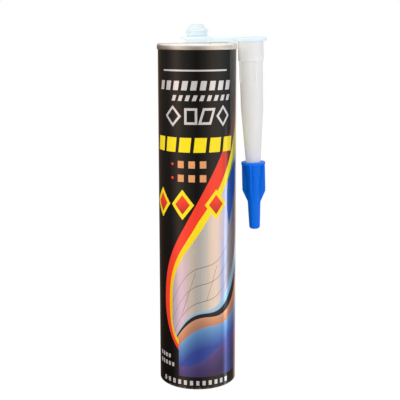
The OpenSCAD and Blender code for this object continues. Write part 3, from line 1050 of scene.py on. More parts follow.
def as_object(name: str, work: bmesh.types.BMesh) -> Object:
    """Turn a bmesh in millimetres into an object in metres.

    Args:
        name: the object's name.
        work: the bmesh, which is used up.

    Returns:
        The object, linked to the scene.
    """
    bmesh.ops.recalc_face_normals(work, faces=work.faces)
    mesh = bpy.data.meshes.new(name)
    work.to_mesh(mesh)
    work.free()
    mesh.transform(Matrix.Scale(MM, 4))
    smoothed(mesh)
    made = bpy.data.objects.new(name, mesh)
    bpy.context.scene.collection.objects.link(made)
    return made


def turned(name: str, *outlines: Sequence[Point], segments: int = 160) -> Object:
    """Turn closed outlines of radius and height about the Z axis.

    Args:
        name: the object's name.
        outlines: closed outlines; a point at radius 0 lies on the axis.
        segments: faces round the axis.

    Returns:
        The object.
    """
    work = bmesh.new()
    turns = [FULL_TURN * k / segments for k in range(segments)]
    for outline in outlines:
        rings = []
        for radius, height in outline:
            around = turns if radius > 1e-6 else turns[:1]
            places = [(radius * math.cos(a), radius * math.sin(a), height) for a in around]
            rings.append([work.verts.new(place) for place in places])
        for ring, following in zip(rings, rings[1:] + rings[:1]):
            for k in range(segments if len(ring) + len(following) > 2 else 0):
                m = (k + 1) % segments
                if len(ring) == 1:
                    work.faces.new((ring[0], following[k], following[m]))
                elif len(following) == 1:
                    work.faces.new((ring[k], following[0], ring[m]))
                else:
                    work.faces.new((ring[k], following[k], following[m], ring[m]))
    return as_object(name, work)


def prism(
    name: str, outline: Sequence[Point], sides: Point, lie: Lie = Lie.UPRIGHT, edge: float = 0.2
) -> Object:
    """A plate with a closed outline and eased edges.

    Args:
        name: the object's name.
        outline: its points, as x and y where it lies flat, or x and z where it stands upright.
        sides: its lower and upper side, along z or y.
        lie: how the outline lies.
        edge: how far the edges are eased.

    Returns:
        The object.
    """
    work = bmesh.new()
    faces = []
    for level in sides:
        places = [(x, y, level) if lie is Lie.FLAT else (x, level, y) for x, y in outline]
        faces.append([work.verts.new(p) for p in places])
    low, high = faces
    work.faces.new(low)
    work.faces.new(high)
    for k in range(len(outline)):
        m = (k + 1) % len(outline)
        work.faces.new((low[k], low[m], high[m], high[k]))
    bmesh.ops.recalc_face_normals(work, faces=work.faces)
    rims = [e for e in work.edges if e.calc_face_angle(0.0) > math.radians(50)]
    bmesh.ops.bevel(work, geom=rims, offset=edge, segments=2, profile=0.5, affect="EDGES", clamp_overlap=True)
    return as_object(name, work)


def plate(name: str, outline: Sequence[Point], thickness: float, edge: float = 0.2) -> Object:
    """An upright plate that stands astride the Y axis' zero."""
    return prism(name, outline, (-thickness / 2, thickness / 2), Lie.UPRIGHT, edge)


def settled(piece: Object) -> Object:
    """Turn what an object's modifiers make into its own plain mesh.

    Args:
        piece: the object.

    Returns:
        The same object.
    """
    bpy.context.view_layer.update()
    shown = piece.evaluated_get(bpy.context.evaluated_depsgraph_get())
    mesh = bpy.data.meshes.new_from_object(shown)
    old = piece.data
    piece.modifiers.clear()
    piece.data = mesh
    bpy.data.meshes.remove(old)
    return piece


def dropped(piece: Object) -> None:
    """Delete a helper object and its mesh.

    Args:
        piece: the object.
    """
    mesh = piece.data
    bpy.data.objects.remove(piece)
    bpy.data.meshes.remove(mesh)


def fused(body: Object, *members: Object) -> Object:
    """Weld closed solids into one skin.

    Args:
        body: the solid that stays.
        members: the solids that are welded to it and then dropped.

    Returns:
        The body.
    """
    for member in members:
        weld = body.modifiers.new("weld", "BOOLEAN")
        weld.operation = "UNION"
        weld.solver = "EXACT"
        weld.object = member
    settled(body)
    for member in members:
        dropped(member)
    smoothed(body.data)
    return body


class Growth(Graph):
    """A Geometry Nodes tree with named inputs, which ends in Realize Instances and Set Material."""

    def __init__(self, name: str, inputs: Mapping[str, str]) -> None:
        """Start the tree.

        Args:
            name: the tree's name.
            inputs: the type of each input's socket, by name.
        """
        super().__init__(bpy.data.node_groups.new(name, "GeometryNodeTree"))
        interface = self.tree.interface
        interface.new_socket("Geometry", in_out="OUTPUT", socket_type="NodeSocketGeometry")
        for label, kind in {"Geometry": "Geometry", "Finish": "Material", **inputs}.items():
            interface.new_socket(label, in_out="INPUT", socket_type=f"NodeSocket{kind}")
        self.entry = self.node("NodeGroupInput")

    def given(self, name: str) -> Wire:
        """One of the tree's inputs."""
        return Wire(self, self.entry.outputs[name])

    def close(self, geometry: Socket) -> None:
        """End the tree with its finished geometry.

        Args:
            geometry: the geometry.
        """
        plain = self.node("GeometryNodeRealizeInstances", None, {"Geometry": geometry}).outputs[0]
        finish = {"Geometry": plain, "Material": self.given("Finish")}
        dressed = self.node("GeometryNodeSetMaterial", None, finish)
        self.node("NodeGroupOutput", None, {"Geometry": dressed.outputs[0]})

    def apply(self, piece: Object, **values: Value) -> Object:
        """Run the tree on an object, and keep the result as its plain mesh.

        Args:
            piece: the object whose mesh goes in.
            values: the inputs' values, by name, with _ for a blank.

        Returns:
            The object.
        """
        modifier = piece.modifiers.new(self.tree.name, "NODES")
        modifier.node_group = self.tree
        for item in self.tree.interface.items_tree:
            key = item.name.replace(" ", "_")
            if item.in_out == "INPUT" and key in values:
                modifier[item.identifier] = values[key]
        settled(piece)
        work = bmesh.new()
        work.from_mesh(piece.data)
        bmesh.ops.remove_doubles(work, verts=work.verts, dist=0.004 * MM)
        bmesh.ops.recalc_face_normals(work, faces=work.faces)
        work.to_mesh(piece.data)
        work.free()
        return piece


class Ring(Growth):
    """Sets copies of one member in a circle about the Z axis."""

    def __init__(self) -> None:
        """Build the tree."""
        super().__init__("ring_of_members", {"Count": "Int", "Start": "Float"})
        count = self.given("Count")
        line = self.node("GeometryNodeMeshLine", None, {"Count": count, "Offset": (0.0, 0.0, 0.0)})
        angle = self.given("Start") + self.wire("GeometryNodeInputIndex") * FULL_TURN / count
        turn = self.node("FunctionNodeEulerToRotation", None, {0: self.vector(0.0, 0.0, angle)})
        member = self.entry.outputs["Geometry"]
        sockets = {"Points": line.outputs[0], "Instance": member, "Rotation": turn.outputs[0]}
        self.close(self.node("GeometryNodeInstanceOnPoints", None, sockets).outputs[0])


class Helix(Growth):
    """Winds a thread: a bar with a humped section that rises round the Z axis and fades at both ends."""

    SECTION = 8
    FADE = 0.1

    def __init__(self) -> None:
        """Build the tree."""
        sizes = ("Root", "Crest", "Width", "Pitch", "Turns", "Foot", "Start")
        super().__init__("thread_bar", {**dict.fromkeys(sizes, "Float"), "Steps": "Int"})
        root, crest, width, pitch, turns, foot, start = (self.given(size) for size in sizes)
        steps, around = self.given("Steps"), self.SECTION + 2
        sheet = {"Size X": 1.0, "Size Y": 1.0, "Vertices X": steps, "Vertices Y": around}
        grid = self.node("GeometryNodeMeshGrid", None, sheet).outputs[0]
        index = self.wire("GeometryNodeInputIndex")
        step = (index / around + 0.001).rounded_down()
        place = index - step * around
        share = place / self.SECTION * (place < self.SECTION + 0.5)
        along = step / (steps - 1.0)
        fade = (along.at_most(1.0 - along) / self.FADE).clamped()
        hump = (share * math.pi).sine().at_least(0.0) ** 0.7
        radius = root + (crest - root) * hump * fade
        angle = start + along * turns * FULL_TURN
        height = foot + along * turns * pitch + (share - 0.5) * width * (fade > 0.0001)
        wound = self.vector(radius * angle.cosine(), radius * angle.sine(), height)
        moved = self.node("GeometryNodeSetPosition", None, {"Geometry": grid, "Position": wound})
        self.close(moved.outputs[0])

    def wind(
        self, name: str, finish: Material, turns: float, start: float, steps: int, **sizes: float
    ) -> Object:
        """Make a thread.

        Args:
            name: the object's name.
            finish: its material.
            turns: how often it goes round.
            start: where it starts, in radians.
            steps: cuts along it.
            sizes: Root, Crest, Width, Pitch and Foot, in millimetres.

        Returns:
            The object.
        """
        bar = as_object(name, bmesh.new())
        metres = {size: length * MM for size, length in sizes.items()}
        return self.apply(bar, Finish=finish, Turns=turns, Start=start, Steps=steps, **metres)


# Sub-assemblies


class Body(Enum):
    """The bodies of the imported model."""

    CARTRIDGE = "cartridge"
    PLUNGER = "plunger"
    NOZZLE = "hung_nozzle"
    CAP = "cap"


def hand_over(
    piece: Object, material: Material, body: Body, nodes: Sequence[str] = ()
) -> None:
    """Give a finished piece its material, its body and the CAD nodes that it stands for.

    Args:
        piece: the object.
        material: its finish.
        body: the body that it moves with.
        nodes: the CAD nodes that it replaces.
    """
    piece.data.materials.clear()
    piece.data.materials.append(material)
    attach(piece, body.value)
    if nodes:
        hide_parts(*nodes)
    LOG.info("%s: %d faces on %s", piece.name, len(piece.data.polygons), body.value)


@dataclass
class Tube:
    """The wound tube and its printed film."""

    length: float = 215.8
    film_top: float = 213.0
    board_radius: float = 24.2
    bore_radius: float = 23.4
    lap: float = 7.0
    lap_rise: float = 0.14
    lap_steps: int = 8
    round_steps: int = 184
    film_rows: int = 18

    def build(self) -> None:
        """Make the board tube and the film round it."""
        wall = rectangle((self.bore_radius, 0.0), (self.board_radius, self.length), (0.12, 0.12, 0.1, 0.1))
        tube = turned("board_tube", wall, segments=192)
        hand_over(tube, WoundBoard().material(), Body.CARTRIDGE, ["tube_body"])
        self.wrap_film()

    def film_angles(self) -> list[tuple[float, float]]:
        """Angles round the film from its lap at the back, each with how far the film stands up there.

        Returns:
            The angles in radians, each with its height in millimetres.
        """
        lap_turn = self.lap / FILM_RADIUS
        back = FULL_TURN / 4
        shares = [k / self.lap_steps for k in range(self.lap_steps + 1)]
        near = [(back + lap_turn * t, self.lap_rise * (1 - t**2) ** 0.5) for t in shares]
        rest = FULL_TURN - lap_turn
        far = [(back + lap_turn + rest * k / self.round_steps, 0.0) for k in range(1, self.round_steps)]
        return [*near, *far, (back + FULL_TURN - 0.0008, 0.0)]

    def wrap_film(self) -> None:
        """Make the film as one closed sheet with a lap that stands up at the back."""
        work = bmesh.new()
        rows = self.film_rows
        shells: list[list[list[bmesh.types.BMVert]]] = []
        for inner in (False, True):
            shell = []
            for row in range(rows + 1):
                height = self.film_top * row / rows
                ring = []
                for angle, stand in self.film_angles():
                    radius = self.board_radius + 0.01 if inner else FILM_RADIUS + stand
                    ring.append(work.verts.new((radius * math.cos(angle), radius * math.sin(angle), height)))
                shell.append(ring)
            shells.append(shell)
        outer, lining = shells
        count = len(outer[0])
        for k in range(count):
            m = (k + 1) % count
            for row in range(rows):
                for shell in shells:
                    work.faces.new((shell[row][k], shell[row][m], shell[row + 1][m], shell[row + 1][k]))
            for row in (0, rows):
                work.faces.new((outer[row][k], outer[row][m], lining[row][m], lining[row][k]))
        sleeve = as_object("printed_sleeve", work)
        inks = ("red", "yellow", "green", "blue", "cyan", "violet", "orange", "silver")
        nodes = ["label_film", *(f"ink_{ink}" for ink in inks)]
        hand_over(sleeve, PrintedFoil().material(), Body.CARTRIDGE, nodes)


@dataclass
class MetalEnd:
    """The pressed end: a seam over the tube's edge, a sunk ring, a panel and the hub round the spout."""

    seam_radius: float = 25.1
    seam_top: float = 216.5
    skirt: float = 212.8
    sheet: float = 0.35
    seam_bend: float = 1.55
    press_bend: float = 0.5
    chuck_radius: float = 23.0
    sink: float = 213.0
    sink_radius: float = 21.4
    panel: float = 215.0
    hub_base: float = 9.5
    hub_radius: float = 8.0
    hub_top: float = 216.9
    hole_radius: float = 6.38

    def build(self) -> None:
        """Make the end from the path of its sheet."""
        bend, press = self.seam_bend, self.press_bend
        path = [
            (self.seam_radius - 0.12, self.skirt),
            (self.seam_radius, self.skirt + 0.5),
            *arc((self.seam_radius - bend, self.seam_top - bend), bend, 0, 90),
            *arc((self.chuck_radius + press, self.seam_top - press), press, 90, 180),
            *arc((self.chuck_radius - press, self.sink + press), press, 0, -90),
            *arc((self.sink_radius + press, self.sink + press), press, -90, -180),
            *arc((self.sink_radius - press, self.panel - press), press, 0, 90),
            (self.hub_base + 0.35, self.panel),
            (self.hub_base - 0.1, self.panel + 0.2),
            (self.hub_radius + 0.15, self.hub_top - 0.18),
            (self.hub_radius - 0.25, self.hub_top),
            (self.hole_radius, self.hub_top),
        ]
        sheet = path + beside(path, self.sheet)[::-1]
        hem_foot = (self.seam_radius - 0.2 - self.sheet, self.skirt)
        hem = rectangle(hem_foot, (self.seam_radius - 0.2, self.skirt + 0.8), (0.1, 0.15, 0.1, 0.1))
        end = turned("seamed_end", sheet, hem, segments=192)
        hand_over(end, PressedTin().material(), Body.CARTRIDGE, ["top_end"])


@dataclass
class Spout:
    """The spout: a flange under the end, a plain neck, a thread and a closed tip."""

    flange_foot: float = 213.2
    flange_radius: float = 11.5
    flange_thickness: float = 1.4
    hub_base: float = 9.15
    hub_radius: float = 7.65
    under_hub: float = 216.5
    neck_radius: float = 6.3
    root_radius: float = 6.05
    crest_radius: float = 7.2
    thread_foot: float = 220.9
    tip_foot: float = 225.1
    top: float = 228.3
    tip_radius: float = 3.2
    bore_radius: float = 4.55
    skin: float = 1.2
    pitch: float = 2.1
    turns: float = 1.75
    thread_width: float = 1.6

    def build(self, helix: Helix, finish: Material) -> None:
        """Make the spout and weld its thread to it.

        Args:
            helix: the thread's tree.
            finish: its material.
        """
        flange_top = self.flange_foot + self.flange_thickness
        outline = rounded(
            [
                (self.bore_radius, self.flange_foot, 0.4),
                (self.flange_radius, self.flange_foot, 0.4),
                (self.flange_radius, flange_top, 0.3),
                (self.hub_base, flange_top, 0.3),
                (self.hub_radius, self.under_hub, 0.3),
                (self.neck_radius, self.under_hub, 0.2),
                (self.neck_radius, self.thread_foot, 0.15),
                (self.root_radius, self.thread_foot + 0.3, 0.1),
                (self.root_radius, self.tip_foot, 0.9),
                (self.tip_radius, self.top, 0.6),
                (0.0, self.top, 0.0),
                (0.0, self.top - self.skin, 0.0),
                (self.tip_radius - 0.6, self.top - self.skin, 0.5),
                (self.bore_radius, self.tip_foot, 0.8),
            ]
        )
        spout = turned("threaded_spout", outline, segments=128)
        sizes = {
            "Root": self.root_radius - 0.25,
            "Crest": self.crest_radius,
            "Width": self.thread_width,
            "Pitch": self.pitch,
            "Foot": self.thread_foot + 0.45,
        }
        fused(spout, helix.wind("thread", finish, self.turns, -math.pi, 120, **sizes))
        hand_over(spout, finish, Body.CARTRIDGE, ["spout"])


@dataclass
class Nozzle:
    """The nozzle with its hanger, one moulding: ring, strap, flange, collar and hollow cone."""

    hang_point: tuple[float, float, float] = (33.24, 0.0, 220.215)
    lean: float = 1.65
    length: float = 117.0
    flange_radius: float = 10.2
    flange_thickness: float = 2.9
    collar_radius: float = 8.0
    collar_length: float = 15.0
    shank_radius: float = 7.28
    cone_radius: float = 7.0
    cone_start: float = 44.0
    tip_radius: float = 2.15
    tip_bore: float = 1.25
    wall: float = 1.1
    socket_radius: float = 7.35
    socket_depth: float = 12.0
    lead_in: float = 0.6
    rib_count: int = 4
    rib_radius: float = 7.95
    rib_width: float = 0.8
    rib_length: float = 13.7
    rib_turn: float = 19.0
    ring_radius: float = 9.95
    ring_bore: float = 6.38
    ring_foot: float = 217.15
    ring_top: float = 220.45
    boss_radius: float = 6.85
    boss_height: float = 1.8
    strap_start: float = 8.1
    strap_width: float = 9.0
    strap_thickness: float = 1.5
    strap_flare: float = 1.6
    strap_rib_width: float = 7.4
    strap_rib_foot: float = 216.85
    thread_crest: float = 6.35
    thread_width: float = 1.5
    thread_pitch: float = 2.1
    thread_turns: float = 3.0
    thread_foot: float = -9.2

    def hang(self) -> Matrix:
        """The move from the nozzle's own axis to its place beside the tube."""
        place = Matrix.Translation(Vector(self.hang_point) * MM)
        return place @ Matrix.Rotation(math.radians(-self.lean), 4, "Y")

    def cone(self) -> Object:
        """Flange, collar, shank and cone, hollow, on their own axis with the flange's top at zero.

        Returns:
            The cone.
        """
        flange, thick = self.flange_radius, self.flange_thickness
        inner_shank = self.shank_radius - self.wall
        shoulder = -self.socket_depth - self.socket_radius + inner_shank
        outline = rounded(
            [
                (self.tip_bore, -self.length, 0.1),
                (self.tip_radius, -self.length, 0.25),
                (self.cone_radius, -self.cone_start, 30.0),
                (self.shank_radius, -self.collar_length, 0.25),
                (self.collar_radius, -self.collar_length + 0.5, 0.3),
                (self.collar_radius, -thick, 0.5),
                (flange, -thick, 1.3),
                (flange, 0.0, 1.2),
                (self.socket_radius + self.lead_in, 0.0, 0.2),
                (self.socket_radius, -self.lead_in, 0.2),
                (self.socket_radius, -self.socket_depth, 0.5),
                (inner_shank, shoulder, 0.5),
                (self.cone_radius - self.wall, -self.cone_start, 20.0),
                (self.tip_bore, -self.length + 2.0, 0.5),
            ],
            6,
        )
        return turned("hanger_nozzle", outline, segments=144)

    def ribs(self, ring: Ring, finish: Material) -> Object:
        """The ribs under the collar.

        Args:
            ring: the tree that repeats a rib.
            finish: their material.

        Returns:
            The ribs as one object.
        """
        top, foot = -self.collar_length + 0.5, -self.collar_length - self.rib_length
        root = self.shank_radius - 0.5 * self.wall
        outline = [(root, top), (self.rib_radius, top), (self.rib_radius, foot + 0.9), (root, foot - 0.3)]
        rib = plate("rib", outline, self.rib_width, 0.16)
        return ring.apply(rib, Finish=finish, Count=self.rib_count, Start=math.radians(-90.0 + self.rib_turn))

    def neck_ring(self) -> Object:
        """The ring round the neck, with the boss under it.

        Returns:
            The ring.
        """
        outline = rounded(
            [
                (self.ring_bore, self.ring_foot - 0.15, 0.05),
                (self.boss_radius, self.ring_foot - 0.15, 0.1),
                (self.boss_radius + 0.3, self.ring_foot + 1.0, 0.5),
                (self.ring_radius, self.ring_foot + self.boss_height, 0.4),
                (self.ring_radius, self.ring_top, 0.45),
                (self.ring_bore, self.ring_top, 0.2),
            ]
        )
        return turned("ring", outline, segments=128)

    def strap(self) -> list[Object]:
        """The strap, which flares into the ring and the flange, and the rib under it.

        Returns:
            The strap and the rib.
        """
        half, flare = self.strap_width / 2, self.strap_flare
        start, end = self.strap_start, self.hang_point[0] - (self.socket_radius + self.collar_radius) / 2
        ring_side, flange_side = start + 0.6, end - 0.4
        upper_side = [
            (start, half + flare, 0.0),
            (ring_side, half + flare * 0.4, 1.5),
            (ring_side + 3.2, half, 3.0),
            (flange_side - 3.4, half, 3.0),
            (flange_side, half + flare * 0.5, 1.5),
            (end, half + flare * 0.7, 0.0),
        ]
        outline = rounded([(x, -y, radius) for x, y, radius in upper_side] + upper_side[::-1])
        under = self.ring_top - self.strap_thickness
        strap = prism("strap", outline, (under, self.ring_top - 0.01), Lie.FLAT, 0.22)
        rib_top, boss = under + 0.5, self.boss_radius + 0.05
        side = [
            (boss, rib_top),
            (boss, self.ring_foot),
            (start + 0.9, self.strap_rib_foot),
            (end, self.strap_rib_foot),
            (end, rib_top),
        ]
        return [strap, plate("strap_rib", side, self.strap_rib_width)]

    def build(self, ring: Ring, helix: Helix, finish: Material) -> None:
        """Make the nozzle and weld its parts.

        Args:
            ring: the tree that repeats a rib.
            helix: the thread's tree.
            finish: its material.
        """
        nozzle = self.cone()
        sizes = {
            "Root": self.socket_radius + 0.25,
            "Crest": self.thread_crest,
            "Width": self.thread_width,
            "Pitch": self.thread_pitch,
            "Foot": self.thread_foot,
        }
        thread = helix.wind("socket_thread", finish, self.thread_turns, 0.0, 160, **sizes)
        members = [self.ribs(ring, finish), thread]
        for piece in (nozzle, *members):
            piece.data.transform(self.hang())
        fused(nozzle, *members, self.neck_ring(), *self.strap())
        hand_over(nozzle, finish, Body.NOZZLE, ["nozzle"])


@dataclass
class Cap:
    """The cap on the nozzle's tip: a disc, a socket, a plug stem and fins to grip."""

    start: float = 79.2
    disc_radius: float = 7.6
    disc_thickness: float = 1.5
    disc_lift: float = 0.6
    mouth_radius: float = 5.36
    mouth_length: float = 8.6
    body_radius: float = 4.95
    stem_radius: float = 4.1
    stem_start: float = 25.0
    end_radius: float = 3.36
    plug: float = 4.9
    end_round: float = 2.0
    play: float = 0.08
    tip_gap: float = 0.4
    fin_count: int = 4
    fin_radius: float = 7.5
    fin_thickness: float = 1.1
    fin_straight: float = 17.9
    fin_turn: float = -18.0

    def build(self, nozzle: Nozzle, ring: Ring, finish: Material) -> None:
        """Make the cap on the nozzle's axis and hang it with the nozzle.

        Args:
            nozzle: the nozzle that it sits on.
            ring: the tree that repeats a fin.
            finish: its material.
        """
        slope = (nozzle.cone_radius - nozzle.tip_radius) / (nozzle.length - nozzle.cone_start)
        mouth_hole = nozzle.cone_radius - slope * (self.start - nozzle.cone_start) + self.play
        tip_hole = nozzle.tip_radius + self.play
        top, foot = -self.start + self.disc_lift, -nozzle.length - self.plug
        under_disc, mouth_end = top - self.disc_thickness, -self.start - self.mouth_length
        stem_end = -self.start - self.stem_start
        outline = rounded(
            [
                (0.0, foot, 0.0),
                (self.end_radius, foot, self.end_round),
                (self.stem_radius, stem_end, 2.0),
                (self.body_radius, mouth_end - 0.15, 0.2),
                (self.mouth_radius, mouth_end, 0.25),
                (self.mouth_radius, under_disc, 0.4),
                (self.disc_radius, under_disc, 0.2),
                (self.disc_radius, top, 0.3),
                (mouth_hole + 0.25, top, 0.1),
                (mouth_hole, top - 0.25, 0.1),
                (tip_hole, -nozzle.length, 0.2),
                (tip_hole, -nozzle.length - self.tip_gap, 0.1),
                (0.0, -nozzle.length - self.tip_gap, 0.0),
            ],
            6,
        )
        cap = turned("finned_cap", outline, segments=128)
        in_disc = top - 0.5 * self.disc_thickness
        fin_outline = rounded(
            [
                (self.body_radius - 0.45, in_disc, 0.0),
                (self.fin_radius, in_disc, 0.0),
                (self.fin_radius, -self.start - self.fin_straight, 2.2),
                (self.stem_radius - 0.2, stem_end - 0.6, 0.0),
                (self.stem_radius - 0.5, stem_end + 1.5, 0.0),
            ]
        )
        fin = plate("fin", fin_outline, self.fin_thickness, 0.22)
        start = math.radians(-90.0 + self.fin_turn)
        fused(cap, ring.apply(fin, Finish=finish, Count=self.fin_count, Start=start))
        cap.data.transform(nozzle.hang())
        hand_over(cap, finish, Body.CAP, ["nozzle_cap"])


@dataclass
class Piston:
    """The piston: a cup with two sealing lips, a front web and stiffening ribs."""

    back: float = 12.0
    front: float = 34.0
    radius: float = 23.34
    relief: float = 0.5
    lip: float = 2.5
    chamfer: float = 1.2
    cup_radius: float = 21.64
    ledge: float = 0.6
    web: float = 32.4
    rib_depth: float = 5.0
    rib_count: int = 8
    rib_thickness: float = 1.2
    boss_radius: float = 5.0

    def build(self, ring: Ring, finish: Material) -> None:
        """Make the piston and weld its ribs.

        Args:
            ring: the tree that repeats a rib.
            finish: its material.
        """
        wall, ramp = self.radius - self.relief, self.lip + self.relief
        rib_foot = self.web - self.rib_depth
        cup = rounded(
            [
                (self.cup_radius, self.back, 0.3),
                (self.radius, self.back, 0.4),
                (self.radius, self.back + self.lip, 0.2),
                (wall, self.back + ramp, 0.2),
                (wall, self.front - self.chamfer - ramp, 0.2),
                (self.radius, self.front - self.chamfer - self.lip, 0.2),
                (self.radius, self.front - self.chamfer, 0.3),
                (self.radius - self.chamfer, self.front, 0.3),
                (0.0, self.front, 0.0),
                (0.0, self.web, 0.0),
                (self.cup_radius - self.ledge, self.web, 0.5),
                (self.cup_radius - self.ledge, rib_foot, 0.15),
                (self.cup_radius, rib_foot, 0.15),
            ]
        )
        piston = turned("cup_piston", cup, segments=160)
        boss_inner = self.boss_radius - self.rib_thickness
        sleeve = rectangle((boss_inner, rib_foot), (self.boss_radius, self.web + 0.5), (0.2, 0.2, 0.0, 0.0))
        boss = turned("boss", sleeve, segments=64)
        side = rectangle((boss_inner + 0.4, rib_foot + 0.02), (self.cup_radius + 0.4, self.web + 0.6))
        rib = plate("piston_rib", side, self.rib_thickness)
        fused(piston, boss, ring.apply(rib, Finish=finish, Count=self.rib_count, Start=0.0))
        hand_over(piston, finish, Body.PLUNGER, ["piston"])


@dataclass
class Sealant:
    """The filling: a slug of paste above the piston, and the plug that stays in the spout."""

    radius: float = 23.3
    foot: float = 34.3
    top: float = 212.5
    travel: float = 172.0
    plug_radius: float = 4.4
    plug_tip_radius: float = 2.4
    plug_top: float = 225.6

    def build(self) -> None:
        """Make both parts."""
        paste = Paste().material()
        filling = rectangle((0.0, self.foot), (self.radius, self.top), (0.0, 0.5, 0.5, 0.0), 3)
        slug = turned("sealant_slug", filling, segments=96)
        hand_over(slug, paste, Body.CARTRIDGE, ["sealant_fill"])
        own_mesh(slug)
        plug_foot = self.top + 0.05
        plug_outline = rounded(
            [
                (0.0, plug_foot, 0.0),
                (self.plug_radius, plug_foot, 0.2),
                (self.plug_radius, self.plug_top - 0.8, 0.8),
                (self.plug_tip_radius, self.plug_top, 0.5),
                (0.0, self.plug_top, 0.0),
            ],
            3,
        )
        hand_over(turned("sealant_plug", plug_outline, segments=48), paste, Body.CARTRIDGE)


# The studio


@dataclass(frozen=True)
class Lamp:
    """A soft lamp that stands round the object and points at its middle."""

    name: str
    bearing: float
    height: float
    distance: float
    width: float
    tall: float
    power: float
    colour: Colour

    def place(self, aim: Vector) -> None:
        """Set the lamp up; bearing turns from the label's front towards the nozzle, in degrees.

        Args:
            aim: the point that it is turned to.
        """
        light = bpy.data.lights.new(self.name, "AREA")
        light.shape = "RECTANGLE"
        light.size, light.size_y = self.width, self.tall
        light.energy = self.power
        light.color = self.colour
        lamp = bpy.data.objects.new(self.name, light)
        turn = math.radians(self.bearing)
        lamp.location = (self.distance * math.sin(turn), -self.distance * math.cos(turn), self.height)
        lamp.rotation_euler = (aim - lamp.location).to_track_quat("-Z", "Y").to_euler()
        lamp.visible_glossy = False
        bpy.context.scene.collection.objects.link(lamp)


